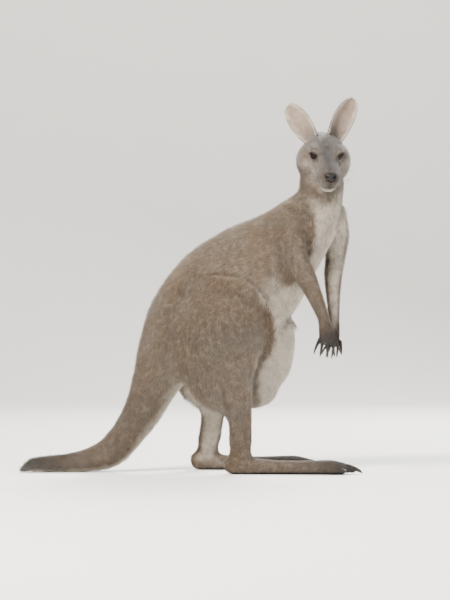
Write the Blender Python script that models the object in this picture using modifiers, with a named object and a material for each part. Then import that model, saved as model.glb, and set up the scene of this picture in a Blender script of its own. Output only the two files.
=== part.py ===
"""A female eastern grey kangaroo, standing on her feet and tail: a still, life-size model.

The animal faces +X and rests on Z = 0. Her chest and head turn towards -Y. Each mass of flesh is a
tube of oval sections carried along a path. The masses are fused into one body, smoothed where they
meet, and then parted into named pieces by thin cuts. Lengths are in metres.
"""

import math

import bmesh
import bpy
import numpy as np
from mathutils import Matrix, Vector

GAP = 0.0003  # clearance between neighbouring pieces
VOXEL = 0.0034  # grain of the fused body
FLESH_TRIANGLES = 2740  # faces left in the fused body
HEAD_GRAIN = 5200  # faces the whole body would have at the head's fineness
SIDES = {"right": -1, "left": 1}  # the right side is at -Y

# Spine, from the tail's tip to the skull. Each row is X, Y, Z of the section's centre, half width,
# rise to the back, drop to the belly, and the section's roll towards -Y in degrees.
SPINE = [
    (-0.425, -0.022, 0.0125, 0.0120, 0.0120, 0.0130, 0),
    (-0.405, -0.020, 0.0195, 0.0190, 0.0190, 0.0200, 0),
    (-0.365, -0.016, 0.0235, 0.0250, 0.0215, 0.0250, 0),
    (-0.312, -0.010, 0.0265, 0.0290, 0.0245, 0.0290, 0),
    (-0.257, -0.004, 0.0350, 0.0340, 0.0310, 0.0350, 0),
    (-0.205, 0.000, 0.0570, 0.0380, 0.0390, 0.0450, 0),
    (-0.159, 0.000, 0.1080, 0.0430, 0.0420, 0.0470, 0),
    (-0.122, 0.000, 0.1680, 0.0510, 0.0490, 0.0560, 0),
    (-0.092, 0.000, 0.2310, 0.0640, 0.0630, 0.0660, 0),
    (-0.055, 0.000, 0.2960, 0.0860, 0.0920, 0.0840, 0),
    (0.005, 0.000, 0.3740, 0.1080, 0.1310, 0.1250, 0),
    (0.088, 0.000, 0.4520, 0.1200, 0.1500, 0.1600, 4),
    (0.177, 0.000, 0.5300, 0.1140, 0.1340, 0.1500, 14),
    (0.250, 0.000, 0.5960, 0.0970, 0.1020, 0.1140, 30),
    (0.306, 0.000, 0.6560, 0.0820, 0.0800, 0.0880, 46),
    (0.335, 0.004, 0.7080, 0.0640, 0.0640, 0.0680, 62),
    (0.343, 0.010, 0.7560, 0.0600, 0.0560, 0.0600, 75),
    (0.343, 0.014, 0.8050, 0.0630, 0.0500, 0.0530, 83),
]

# Head, in its own frame: X from the nape to the nose, Z up. Each row is the section's place along
# the head, the height of its centre, half width, rise and drop.
HEAD = [
    (0.008, 0.000, 0.0420, 0.0370, 0.0440),
    (0.026, 0.001, 0.0520, 0.0430, 0.0540),
    (0.050, 0.001, 0.0560, 0.0460, 0.0600),
    (0.075, 0.000, 0.0505, 0.0440, 0.0590),
    (0.098, -0.001, 0.0410, 0.0400, 0.0550),
    (0.120, -0.002, 0.0345, 0.0355, 0.0505),
    (0.142, -0.003, 0.0305, 0.0320, 0.0465),
    (0.162, -0.004, 0.0285, 0.0285, 0.0430),
    (0.178, -0.005, 0.0255, 0.0240, 0.0370),
]
# Swellings of the left side of the head: centre and radii, in the head's frame.
HEAD_SWELLINGS = {
    "brow": ((0.080, 0.0275, 0.0220), (0.030, 0.0190, 0.0190)),
    "cheek": ((0.050, 0.0390, -0.0220), (0.044, 0.0310, 0.0450)),
    "lip": ((0.160, 0.0140, -0.0150), (0.026, 0.0180, 0.0230)),
    "chin": ((0.147, 0.0040, -0.0430), (0.028, 0.0160, 0.0130)),
}
HEAD_PLACE = Vector((0.3440, 0.0280, 0.8530))
HEAD_YAW = math.radians(-84.5)
HEAD_PITCH = math.radians(30.5)
EYE_PLACE = Vector((0.1000, 0.0305, 0.0215))  # the left eye, in the head's frame
EYE_RADIUS = 0.0130

# Hind leg, from the hip down the haunch and the shank to the heel. Rows are X, distance from the
# midline, Z, half width, half depth ahead and behind.
LEG = [
    (0.070, 0.046, 0.484, 0.0380, 0.0560, 0.0700),
    (0.067, 0.064, 0.452, 0.0600, 0.1030, 0.1000),
    (0.067, 0.080, 0.402, 0.0740, 0.1230, 0.1180),
    (0.076, 0.090, 0.350, 0.0770, 0.1210, 0.1240),
    (0.091, 0.096, 0.300, 0.0690, 0.0990, 0.1240),
    (0.106, 0.100, 0.255, 0.0550, 0.0680, 0.1200),
    (0.118, 0.102, 0.218, 0.0420, 0.0490, 0.1040),
    (0.127, 0.102, 0.185, 0.0330, 0.0370, 0.0800),
    (0.131, 0.101, 0.152, 0.0270, 0.0310, 0.0440),
    (0.132, 0.099, 0.118, 0.0235, 0.0290, 0.0330),
    (0.1315, 0.096, 0.062, 0.0220, 0.0300, 0.0320),
    (0.1300, 0.094, 0.030, 0.0240, 0.0320, 0.0320),
]
RUMP = ((0.000, 0.058, 0.350), (0.085, 0.062, 0.125))  # centre and radii of the swelling behind the hip
FOOT = [
    (0.112, 0.094, 0.028, 0.0240, 0.0260, 0.0300),
    (0.150, 0.094, 0.024, 0.0255, 0.0220, 0.0260),
    (0.200, 0.095, 0.0195, 0.0260, 0.0185, 0.0210),
    (0.260, 0.097, 0.0180, 0.0265, 0.0175, 0.0195),
    (0.320, 0.100, 0.0185, 0.0285, 0.0180, 0.0200),
    (0.362, 0.102, 0.0190, 0.0310, 0.0180, 0.0210),
    (0.390, 0.103, 0.0165, 0.0270, 0.0150, 0.0185),
]
# Toes: the path from the foot to the tip, as X, distance from the midline, Z and radius, and then
# the claw's length and radius.
TOES = {
    "fourth": (
        [(0.370, 0.102, 0.0170, 0.0135), (0.400, 0.104, 0.0165, 0.0125), (0.418, 0.105, 0.0130, 0.0105)],
        (0.030, 0.0066),
    ),
    "fifth": (
        [(0.345, 0.120, 0.0130, 0.0100), (0.372, 0.127, 0.0120, 0.0090), (0.386, 0.130, 0.0105, 0.0080)],
        (0.023, 0.0050),
    ),
    "third": (
        [(0.345, 0.084, 0.0120, 0.0075), (0.370, 0.080, 0.0110, 0.0066), (0.382, 0.079, 0.0095, 0.0058)],
        (0.015, 0.0034),
    ),
    "second": (
        [(0.342, 0.075, 0.0115, 0.0072), (0.364, 0.068, 0.0105, 0.0062), (0.375, 0.065, 0.0090, 0.0055)],
        (0.014, 0.0032),
    ),
}
HIP_HEIGHT = 0.40
HOCK_HEIGHT = 0.03
STRIDE = {"right": 0.0, "left": 0.088}  # how far back each foot stands

# Arms. Rows are X, Y, Z, half width, half depth ahead and behind.
ARMS = {
    "right": [
        (0.266, -0.046, 0.668, 0.0420, 0.0460, 0.0460),
        (0.264, -0.084, 0.618, 0.0360, 0.0390, 0.0390),
        (0.273, -0.112, 0.558, 0.0300, 0.0320, 0.0310),
        (0.297, -0.128, 0.506, 0.0270, 0.0280, 0.0280),
        (0.321, -0.142, 0.454, 0.0205, 0.0215, 0.0215),
        (0.341, -0.152, 0.402, 0.0155, 0.0165, 0.0165),
        (0.348, -0.155, 0.370, 0.0140, 0.0200, 0.0200),
        (0.351, -0.156, 0.346, 0.0120, 0.0225, 0.0225),
    ],
    "left": [
        (0.364, 0.044, 0.676, 0.0420, 0.0480, 0.0420),
        (0.380, 0.054, 0.622, 0.0350, 0.0400, 0.0360),
        (0.380, 0.046, 0.562, 0.0290, 0.0290, 0.0290),
        (0.374, 0.020, 0.508, 0.0260, 0.0240, 0.0260),
        (0.373, -0.004, 0.452, 0.0200, 0.0185, 0.0200),
        (0.374, -0.026, 0.398, 0.0160, 0.0150, 0.0155),
        (0.374, -0.034, 0.366, 0.0190, 0.0150, 0.0150),
        (0.374, -0.037, 0.342, 0.0210, 0.0135, 0.0135),
    ],
}
HAND_ACROSS = {"right": (1.0, 0.0), "left": (0.75, -0.66)}  # direction across each hand, X and Y
FINGERS = ("first", "second", "third", "fourth", "fifth")
FINGER_LENGTH = 0.030
FINGER_RADIUS = 0.0050
FINGER_CLAW = (0.0185, 0.0032)  # length and radius
# Along a claw, as shares of its length, radius and length: how far, how thick and how much it droops.
CLAW_ROWS = [(0.0, 1.0, 0.0), (0.40, 0.94, 0.02), (0.75, 0.66, 0.09), (1.0, 0.20, 0.20)]
CLAW_ROOT = 0.34  # the share of a claw inside the toe
PALM_COLUMN = {"right": 4, "left": 3}  # which of the last row's sizes is the palm's half width

# Belly, from the ribs down to the foot of the pouch. Rows as for an arm.
BELLY = [
    (0.170, 0.0, 0.470, 0.0980, 0.0850, 0.0800),
    (0.173, 0.0, 0.400, 0.1020, 0.0990, 0.1000),
    (0.170, 0.0, 0.335, 0.0960, 0.1040, 0.1000),
    (0.163, 0.0, 0.280, 0.0860, 0.1000, 0.0900),
    (0.156, 0.0, 0.236, 0.0720, 0.0820, 0.0760),
]

# Volumes and planes that part the body. The haunch is an ellipsoid's centre and radii.
HAUNCH = ((0.070, 0.119, 0.320), (0.180, 0.104, 0.205))
ARM_MARGIN = 0.012
WRIST_HEIGHT = 0.386
ANKLE_HEIGHT = 0.058
LEFT_ARM_FROM = 0.345
CUTS = [
    ("head", (0.345, 0.024, 0.791), (0.0, -0.568, 0.823)),
    ("neck", (0.322, 0.0, 0.682), (0.5, -0.1, 0.86)),
    ("chest", (0.160, 0.0, 0.515), (0.72, 0.0, 0.69)),
    ("pouch", (0.215, 0.0, 0.300), (0.70, 0.0, -0.71)),
    ("abdomen", (-0.075, 0.0, 0.260), (0.5, 0.0, 0.86)),
    ("tail_base", (-0.159, 0.0, 0.108), (0.62, 0.0, 0.78)),
    ("tail_middle", (-0.300, 0.0, 0.0265), (1.0, 0.0, 0.1)),
]

# Ears: the root in the head's frame, and the directions of the tip and of the mouth.
EARS = {
    "right": ((0.012, -0.027, 0.023), (-0.540, 0.36, 0.760), (-0.22, -0.97, 0.0)),
    "left": ((0.012, 0.0265, 0.025), (0.455, 0.10, 0.885), (0.15, -0.98, 0.0)),
}
# Along the ear: the distance from the root, the half width and how far round it curls, in degrees.
EAR_ROWS = [
    (-0.012, 0.0190, 118),
    (0.010, 0.0235, 102),
    (0.034, 0.0270, 82),
    (0.060, 0.0280, 64),
    (0.086, 0.0248, 54),
    (0.105, 0.0175, 46),
    (0.115, 0.0080, 40),
]
EAR_THICKNESS = 0.0036
EAR_STEPS = 4  # half the columns across an ear

# Colours of the finish.
FUR = (0.34, 0.29, 0.25, 1.0)
PALE = (0.62, 0.58, 0.53, 1.0)
DARK = (0.09, 0.07, 0.06, 1.0)
HORN = (0.03, 0.026, 0.024, 1.0)
EYE = (0.015, 0.009, 0.006, 1.0)

# Each piece's colour and roughness, by how its name starts.
LOOKS = [
    ("toe_claw", (HORN, 0.4)),
    ("claw", (HORN, 0.4)),
    ("eye", (EYE, 0.1)),
    ("hand", (DARK, 0.9)),
    ("foot", (DARK, 0.9)),
    ("tail_tip", (DARK, 0.9)),
    ("pouch", (PALE, 0.9)),
    ("", (FUR, 0.9)),
]

HEAD_REGION = ((0.352, -0.045, 0.815), 0.17)  # centre and reach
BLEND_TURNS = 70  # strength of the smoothing at the joins
# Places where one mass flows into the next: centre and reach.
BLENDS = [
    ((0.060, -0.08, 0.36), 0.27),
    ((0.040, 0.08, 0.36), 0.27),
    ((0.262, -0.06, 0.645), 0.115),
    ((0.365, 0.045, 0.645), 0.105),
    ((0.200, 0.0, 0.420), 0.16),
    ((0.155, 0.0, 0.200), 0.12),
    ((0.345, 0.01, 0.750), 0.100),
]


def clear_scene():
    for obj in list(bpy.data.objects):
        bpy.data.objects.remove(obj)


def material(name, colour, roughness):
    made = bpy.data.materials.new(name)
    made.use_nodes = True
    shader = made.node_tree.nodes["Principled BSDF"]
    shader.inputs["Base Color"].default_value = colour
    shader.inputs["Roughness"].default_value = roughness
    return made


def new_object(name, mesh, collection):
    obj = bpy.data.objects.new(name, mesh)
    collection.objects.link(obj)
    return obj


def smooth_rows(rows, steps):
    """Catmull-Rom curve through the rows, each column alike, with `steps` samples a stretch."""
    rows = np.asarray(rows, float)
    padded = np.vstack([2 * rows[0] - rows[1], rows, 2 * rows[-1] - rows[-2]])
    t = np.arange(steps)[:, None] / steps
    stretches = []
    for a, b, c, d in zip(padded, padded[1:], padded[2:], padded[3:]):
        cubic = 2 * b + (c - a) * t + (2 * a - 5 * b + 4 * c - d) * t**2 + (3 * b - 3 * c + d - a) * t**3
        stretches.append(cubic / 2)
    return np.vstack([*stretches, rows[-1:]])


def tube_mesh(name, rows, steps=5, sides=28, grow=0.0, square=2.0, capped=True):
    """Closed tube of superelliptic sections, with rounded ends. Each row is X, Y, Z, half width, rise,
    drop and, where it is given, the section's roll in degrees. `grow` makes it larger all round."""
    rows = smooth_rows(rows, steps)
    centre = rows[:, :3]
    width, rise, drop = (rows[:, k] + grow for k in (3, 4, 5))
    roll = np.radians(rows[:, 6]) if rows.shape[1] > 6 else np.zeros(len(rows))
    tangent = np.gradient(centre, axis=0)
    tangent /= np.linalg.norm(tangent, axis=1)[:, None]
    # Rounded ends: a quarter of a circle of further sections at each end.
    turn = np.radians([22, 45, 66, 82])
    for end, order in ((0, slice(None, None, -1)), (-1, slice(None))) if capped else ():
        reach = min(width[end], rise[end], drop[end])
        way = tangent[end] * (-1 if end == 0 else 1)
        further = (centre[end] + reach * np.sin(turn)[:, None] * way)[order]
        shrink = np.cos(turn)[order]
        ends = (further, *(shrink * s[end] for s in (width, rise, drop)))
        fixed = (np.repeat(roll[end], len(turn)), np.repeat(tangent[end][None], len(turn), 0))
        pieces = zip((centre, width, rise, drop, roll, tangent), (*ends, *fixed))
        join = [np.concatenate([b, a] if end == 0 else [a, b]) for a, b in pieces]
        centre, width, rise, drop, roll, tangent = join
    across = np.array([0.0, 1.0, 0.0]) - tangent * tangent[:, 1:2]
    across /= np.linalg.norm(across, axis=1)[:, None]
    up = np.cross(tangent, across)
    c, s = np.cos(roll)[:, None], np.sin(roll)[:, None]
    up, across = c * up + s * across, c * across - s * up
    angle = np.linspace(0, 2 * np.pi, sides, endpoint=False)
    flat = np.sign(np.cos(angle)) * np.abs(np.cos(angle)) ** (2 / square)
    tall = np.sign(np.sin(angle)) * np.abs(np.sin(angle)) ** (2 / square)
    height = np.where(tall > 0, rise[:, None] * tall, drop[:, None] * tall)
    ring = centre[:, None] + (width[:, None] * flat)[..., None] * across[:, None]
    ring += height[..., None] * up[:, None]
    count = len(ring)
    index = np.arange(count * sides).reshape(count, sides)
    turned = np.roll(index, -1, axis=1)
    quads = np.stack([index[:-1], turned[:-1], turned[1:], index[1:]], -1).reshape(-1, 4)
    faces = [tuple(f) for f in quads] + [tuple(index[0][::-1]), tuple(index[-1])]
    mesh = bpy.data.meshes.new(name)
    mesh.from_pydata(ring.reshape(-1, 3).tolist(), [], faces)
    return mesh


def ellipsoid_mesh(name, centre, radii, turn=0.0, grow=0.0, segments=32, rings=20):
    """An ellipsoid, turned about the Y axis."""
    shape = bmesh.new()
    bmesh.ops.create_uvsphere(shape, u_segments=segments, v_segments=rings, radius=1.0)
    size = Matrix.Diagonal([*(r + grow for r in radii), 1.0])
    place = Matrix.Translation(centre) @ Matrix.Rotation(turn, 4, "Y") @ size
    bmesh.ops.transform(shape, matrix=place, verts=shape.verts)
    mesh = bpy.data.meshes.new(name)
    shape.to_mesh(mesh)
    shape.free()
    return mesh


def box_mesh(name, low, high):
    """A box between two corners."""
    shape = bmesh.new()
    bmesh.ops.create_cube(shape, size=1.0)
    low, high = Vector(low), Vector(high)
    size = Matrix.Diagonal([*(high - low), 1.0])
    bmesh.ops.transform(shape, matrix=Matrix.Translation((low + high) / 2) @ size, verts=shape.verts)
    mesh = bpy.data.meshes.new(name)
    shape.to_mesh(mesh)
    shape.free()
    return mesh


def beyond_mesh(point, normal, start):
    """A large block that fills the space beyond a plane, from `start` along the plane's normal."""
    block = box_mesh("beyond", (-2, -2, start), (2, 2, 4))
    turn = Vector(normal).to_track_quat("Z", "Y").to_matrix().to_4x4()
    block.transform(Matrix.Translation(point) @ turn)
    return block


def head_matrix():
    turn = Matrix.Rotation(HEAD_YAW, 4, "Z") @ Matrix.Rotation(HEAD_PITCH, 4, "Y")
    return Matrix.Translation(HEAD_PLACE) @ turn


def stride_shift(side, z):
    """How far back the leg on a side stands at a height: none at the hip, all at the foot."""
    share = min(max((HIP_HEIGHT - z) / (HIP_HEIGHT - HOCK_HEIGHT), 0.0), 1.0)
    return STRIDE[side] * (share + math.sin(share * math.pi / 2)) / 2


def leg_rows(rows, side):
    """A leg's rows set to one side, with the foot set back by the stride."""
    return [(x - stride_shift(side, z), SIDES[side] * out, z, *sizes) for x, out, z, *sizes in rows]


def round_rows(path):
    """Rows of a round tube from places and radii."""
    return [(*place, r, r, r) for *place, r in path]


def finger_paths(side):
    """Each finger's rows, and its claw's root and direction. The fingers fan out across the palm."""
    palm = Vector(ARMS[side][-1][:3])
    half = ARMS[side][-1][PALM_COLUMN[side]] - FINGER_RADIUS * 0.4
    across = Vector((*HAND_ACROSS[side], 0.0)).normalized()
    ahead = Vector((0.0, 0.0, 1.0)).cross(across)
    paths = {}
    for k, finger in enumerate(FINGERS):
        share = 2 * k / (len(FINGERS) - 1) - 1
        root = palm + across * half * share
        way = (Vector((0, 0, -1)) + across * 0.42 * share - ahead * 0.10).normalized()
        length = FINGER_LENGTH * (1.0 - 0.24 * share**2)
        path = []
        for s in (0.0, 0.5, 1.0):
            place = root + way * length * s - ahead * 0.004 * s * s
            path.append((*place, FINGER_RADIUS * (1 - 0.12 * s)))
        paths[finger] = (round_rows(path), Vector(path[-1][:3]), (way - ahead * 0.35).normalized())
    return paths


def masses():
    """Every mass of flesh, as closed meshes that overlap."""
    made = [tube_mesh("spine", SPINE, sides=40)]
    head = [tube_mesh("head", [(x, 0.0, z, *sizes) for x, z, *sizes in HEAD], sides=36, square=2.15)]
    for name, (centre, radii) in HEAD_SWELLINGS.items():
        for sign in SIDES.values():
            head.append(ellipsoid_mesh(name, (centre[0], sign * centre[1], centre[2]), radii))
    for mesh in head:
        mesh.transform(head_matrix())
    made += head
    made.append(tube_mesh("belly", BELLY, sides=36))
    for side in SIDES:
        made.append(tube_mesh("leg", leg_rows(LEG, side), sides=36))
        (x, out, z), radii = RUMP
        made.append(ellipsoid_mesh("rump", (x - stride_shift(side, z), SIDES[side] * out, z), radii))
        made.append(tube_mesh("foot", leg_rows(FOOT, side), square=2.4))
        for toe, (path, _) in TOES.items():
            made.append(tube_mesh(toe, leg_rows(round_rows(path), side), sides=16))
        made.append(tube_mesh("arm", ARMS[side], sides=28))
        for rows, _, _ in finger_paths(side).values():
            made.append(tube_mesh("finger", rows, sides=14, steps=4))
    return made


def fused(meshes, collection):
    """One closed surface round all the meshes, smoothed where the limbs join the trunk."""
    shape = bmesh.new()
    for mesh in meshes:
        shape.from_mesh(mesh)
    bmesh.ops.recalc_face_normals(shape, faces=shape.faces)
    whole = bpy.data.meshes.new("whole")
    shape.to_mesh(whole)
    shape.free()
    body = new_object("body", whole, collection)
    remesh = body.modifiers.new("fuse", "REMESH")
    remesh.mode = "VOXEL"
    remesh.voxel_size = VOXEL
    apply_modifiers(body)
    weigh(body, "blend", BLENDS)
    for group, turns in (("blend", BLEND_TURNS), ("all", 3)):
        smooth = body.modifiers.new(group, "SMOOTH")
        smooth.factor = 0.5
        smooth.iterations = turns
        if group == "blend":
            smooth.vertex_group = "blend"
    reduce = body.modifiers.new("reduce", "DECIMATE")
    reduce.ratio = HEAD_GRAIN / (2 * len(body.data.polygons))
    apply_modifiers(body)
    # The head keeps its faces: a second reduction takes the rest of the body's.
    weigh(body, "head", [HEAD_REGION])
    reduce = body.modifiers.new("reduce", "DECIMATE")
    reduce.vertex_group = "head"
    reduce.invert_vertex_group = True
    reduce.ratio = FLESH_TRIANGLES / len(body.data.polygons)
    apply_modifiers(body)
    return body


def weigh(body, name, regions):
    """A vertex group that is strongest in the middle of each round region."""
    places = np.empty(len(body.data.vertices) * 3)
    body.data.vertices.foreach_get("co", places)
    places = places.reshape(-1, 3)
    weight = np.zeros(len(places))
    for centre, reach in regions:
        near = 1 - np.linalg.norm(places - centre, axis=1) / reach
        weight = np.maximum(weight, np.clip(near * 2.2, 0, 1))
    group = body.vertex_groups.new(name=name)
    for index in np.nonzero(weight)[0]:
        group.add([int(index)], float(weight[index]), "REPLACE")


def apply_modifiers(obj):
    graph = bpy.context.evaluated_depsgraph_get()
    graph.update()
    made = bpy.data.meshes.new_from_object(
        obj.evaluated_get(graph), preserve_all_data_layers=True, depsgraph=graph
    )
    obj.modifiers.clear()
    obj.data = made


def in_triangles(mesh):
    """Split a mesh's quads along the same diagonal, so that a shape and its grown twin match."""
    shape = bmesh.new()
    shape.from_mesh(mesh)
    bmesh.ops.triangulate(shape, faces=shape.faces, quad_method="FIXED")
    shape.to_mesh(mesh)
    shape.free()


def combine(obj, other, operation):
    """Exact boolean of an object with a mesh, which is used up."""
    in_triangles(other)
    tool = new_object("tool", other, bpy.context.scene.collection)
    cut = obj.modifiers.new("cut", "BOOLEAN")
    cut.operation = operation
    cut.solver = "EXACT"
    cut.object = tool
    apply_modifiers(obj)
    bpy.data.objects.remove(tool)


def taken(body, name, volume, grown):
    """A new object with the body's flesh inside a volume. The grown volume is cut from the body."""
    piece = new_object(name, body.data.copy(), body.users_collection[0])
    combine(piece, volume, "INTERSECT")
    combine(body, grown, "DIFFERENCE")
    return piece


def beyond(body, name, point, normal):
    """A new object with the body's flesh beyond a plane, parted from the body by a thin cut."""
    return taken(body, name, beyond_mesh(point, normal, GAP / 2), beyond_mesh(point, normal, -GAP / 2))


def loose_parts(obj):
    """The separate parts of an object, largest first, as new objects. The object is used up."""
    shape = bmesh.new()
    shape.from_mesh(obj.data)
    left = set(shape.verts)
    groups = []
    while left:
        seed = left.pop()
        group, front = {seed}, [seed]
        while front:
            for edge in front.pop().link_edges:
                for vert in edge.verts:
                    if vert not in group:
                        group.add(vert)
                        front.append(vert)
        left -= group
        groups.append({vert.index for vert in group})
    shape.free()
    parts = []
    for group in sorted(groups, key=len, reverse=True):
        part = bmesh.new()
        part.from_mesh(obj.data)
        bmesh.ops.delete(part, geom=[v for v in part.verts if v.index not in group], context="VERTS")
        mesh = bpy.data.meshes.new("part")
        part.to_mesh(mesh)
        part.free()
        parts.append(new_object("part", mesh, obj.users_collection[0]))
    bpy.data.objects.remove(obj)
    return parts


def middle(obj):
    """The mean place of an object's corners."""
    places = np.empty(len(obj.data.vertices) * 3)
    obj.data.vertices.foreach_get("co", places)
    return places.reshape(-1, 3).mean(axis=0)


def thigh_volume(side, grow):
    """The haunch's share of the flesh, set back by the stride as the leg is."""
    (x, out, z), radii = HAUNCH
    mesh = ellipsoid_mesh("haunch", (x, SIDES[side] * out, z), radii, grow=grow, segments=14, rings=8)
    for vert in mesh.vertices:
        vert.co.x -= stride_shift(side, vert.co.z)
    return mesh


def arm_volume(side, grow):
    """The upper arm's share of the flesh."""
    return tube_mesh("arm", ARMS[side][:4], steps=1, sides=8, grow=ARM_MARGIN + grow)


def parted(body):
    """The body's named pieces."""
    pieces = {}
    for side in SIDES:
        name = f"thigh_{side}"
        pieces[name] = taken(body, name, thigh_volume(side, 0.0), thigh_volume(side, GAP))
    for side in SIDES:
        name = f"upper_arm_{side}"
        pieces[name] = taken(body, name, arm_volume(side, 0.0), arm_volume(side, GAP))
    trunk, *limbs = loose_parts(body)
    for limb in limbs[:4]:
        x, y, z = middle(limb)
        high = z > HIP_HEIGHT / 2
        side = "left" if (x > LEFT_ARM_FROM if high else y > 0) else "right"
        outer, inner = ("forearm", "hand") if high else ("shank", "foot")
        height = WRIST_HEIGHT if high else ANKLE_HEIGHT
        pieces[f"{outer}_{side}"] = beyond(limb, f"{outer}_{side}", (0, 0, height), (0, 0, 1))
        limb.name = f"{inner}_{side}"
        pieces[limb.name] = limb
    for crumb in limbs[4:]:
        bpy.data.objects.remove(crumb)
    for name, point, normal in CUTS:
        pieces[name] = beyond(trunk, name, point, normal)
    trunk.name = "tail_tip"
    pieces["tail_tip"] = trunk
    return pieces


def claw_mesh(place, way, length, radius, grow, sides):
    """A claw, curved downwards. `place` is where it leaves the toe."""
    rows = []
    root = place - way * length * CLAW_ROOT
    for along, girth, droop in CLAW_ROWS:
        stretch = length * along - (grow if along == 0 else 0.0)
        centre = root + way * stretch - Vector((0, 0, length * droop))
        rows.append((*centre, *(3 * [radius * girth + grow])))
    return tube_mesh("claw", rows, steps=1, sides=sides, capped=False)


def claws(side):
    """Each claw's name and toe, with the function that makes its mesh at a given growth."""
    for toe, (path, (length, radius)) in TOES.items():
        (x, y, z, *_), (ex, ey, ez, *_) = leg_rows(round_rows(path), side)[-2:]
        way = (Vector((ex - x, ey - y, ez - z)).normalized() - Vector((0, 0, 0.04))).normalized()
        place = Vector((ex, ey, ez + 0.002)) + way * path[-1][3] * 0.6
        yield f"toe_claw_{toe}_{side}", f"foot_{side}", (place, way, length, radius), 6
    for finger, (_, tip, way) in finger_paths(side).items():
        place = tip + way * FINGER_RADIUS * 0.6
        yield f"claw_{finger}_{side}", f"hand_{side}", (place, way, *FINGER_CLAW), 5


def ear_mesh(side, grow):
    """A cupped ear: a curled sheet with an even thickness that thins towards its rim."""
    root, tip, mouth = EARS[side]
    root = head_matrix() @ Vector(root)
    axis = Vector(tip).normalized()
    mouth = Vector(mouth)
    mouth = np.array((mouth - axis * mouth.dot(axis)).normalized())
    axis = np.array(axis)
    across = np.cross(mouth, axis)
    rows = np.asarray(EAR_ROWS, float)
    along, half, curl = rows[:, :1], rows[:, 1:2], np.radians(rows[:, 2:3])
    along = along - grow * (np.arange(len(rows)) == 0)[:, None]
    radius = half / np.sin(np.minimum(curl, np.pi / 2))
    share = np.linspace(-1, 1, 2 * EAR_STEPS + 1)[None]
    turn = share * (curl + grow / radius)
    bow = 0.010 * np.sin(np.pi * np.clip(along / EAR_ROWS[-1][0], 0, 1))
    places = []
    for sign in (-1, 1):
        reach = radius + sign * (EAR_THICKNESS / 2 * (1 - 0.35 * share**2) + grow)
        sideways = (reach * np.sin(turn))[..., None] * across
        deep = (radius - reach * np.cos(turn) - bow)[..., None] * mouth
        places.append(np.array(root) + along[..., None] * axis + sideways + deep)
    front, back = places
    height, width = front.shape[:2]
    index = np.arange(height * width).reshape(height, width)
    quads = np.stack([index[:-1, :-1], index[:-1, 1:], index[1:, 1:], index[1:, :-1]], -1).reshape(-1, 4)
    rim = np.concatenate([index[0, :-1], index[:-1, -1], index[-1, :0:-1], index[:0:-1, 0]])
    after = np.roll(rim, -1)
    far = height * width
    faces = [*quads, *(quads[:, ::-1] + far), *np.stack([after, rim, rim + far, after + far], -1)]
    mesh = bpy.data.meshes.new("ear")
    corners = np.concatenate([front.reshape(-1, 3), back.reshape(-1, 3)])
    mesh.from_pydata(corners.tolist(), [], [face.tolist() for face in faces])
    return mesh


def eye_mesh(side, grow):
    place = head_matrix() @ Vector((EYE_PLACE.x, SIDES[side] * EYE_PLACE.y, EYE_PLACE.z))
    return ellipsoid_mesh("eye", place, (EYE_RADIUS,) * 3, grow=grow, segments=12, rings=7)


def outward(mesh):
    """Turn a closed mesh's faces outwards."""
    shape = bmesh.new()
    shape.from_mesh(mesh)
    bmesh.ops.recalc_face_normals(shape, faces=shape.faces)
    shape.to_mesh(mesh)
    shape.free()
    return mesh


def add_details(pieces, collection):
    """Ears, eyes and claws, each set in a socket in the flesh."""
    for side in SIDES:
        for name, make in ((f"ear_{side}", ear_mesh), (f"eye_{side}", eye_mesh)):
            combine(pieces["head"], outward(make(side, GAP)), "DIFFERENCE")
            pieces[name] = new_object(name, outward(make(side, 0.0)), collection)
        for name, toe, sizes, sides in claws(side):
            combine(pieces[toe], outward(claw_mesh(*sizes, GAP, sides)), "DIFFERENCE")
            pieces[name] = new_object(name, outward(claw_mesh(*sizes, 0.0, sides)), collection)


def finish(pieces):
    """Each piece's own material, smooth shading, and the place of the whole: centred over the floor."""
    corners = np.vstack([np.array([v.co for v in piece.data.vertices]) for piece in pieces.values()])
    low, high = corners.min(axis=0), corners.max(axis=0)
    shift = Matrix.Translation((-(low[0] + high[0]) / 2, -(low[1] + high[1]) / 2, -low[2]))
    for name, piece in pieces.items():
        piece.data.transform(shift)
        piece.data.materials.clear()
        colour, roughness = next(look for start, look in LOOKS if name.startswith(start))
        piece.data.materials.append(material(f"{name}_finish", colour, roughness))


def main():
    clear_scene()
    animal = bpy.data.collections.new("kangaroo")
    bpy.context.scene.collection.children.link(animal)
    body = fused(masses(), animal)
    combine(body, box_mesh("floor", (-2, -2, -1), (2, 2, 0)), "DIFFERENCE")
    pieces = parted(body)
    add_details(pieces, animal)
    finish(pieces)


main()
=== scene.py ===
"""The looks of a female eastern grey kangaroo, life-size: skin, coat, eyes, nose, whiskers and claws.

Every mass of the body is a tube of oval sections along a path, as in the solids, and smaller all round
by the depth of the coat. The masses are fused into one skin. The coat is made of small closed tufts,
rooted all over the skin and lying the way the hair grows. Lengths are in metres.
"""

import itertools
import math

import bmesh
import bpy
import numpy as np
from bpy.props import FloatProperty, FloatVectorProperty, PointerProperty
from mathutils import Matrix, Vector
from mathutils.bvhtree import BVHTree


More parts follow.
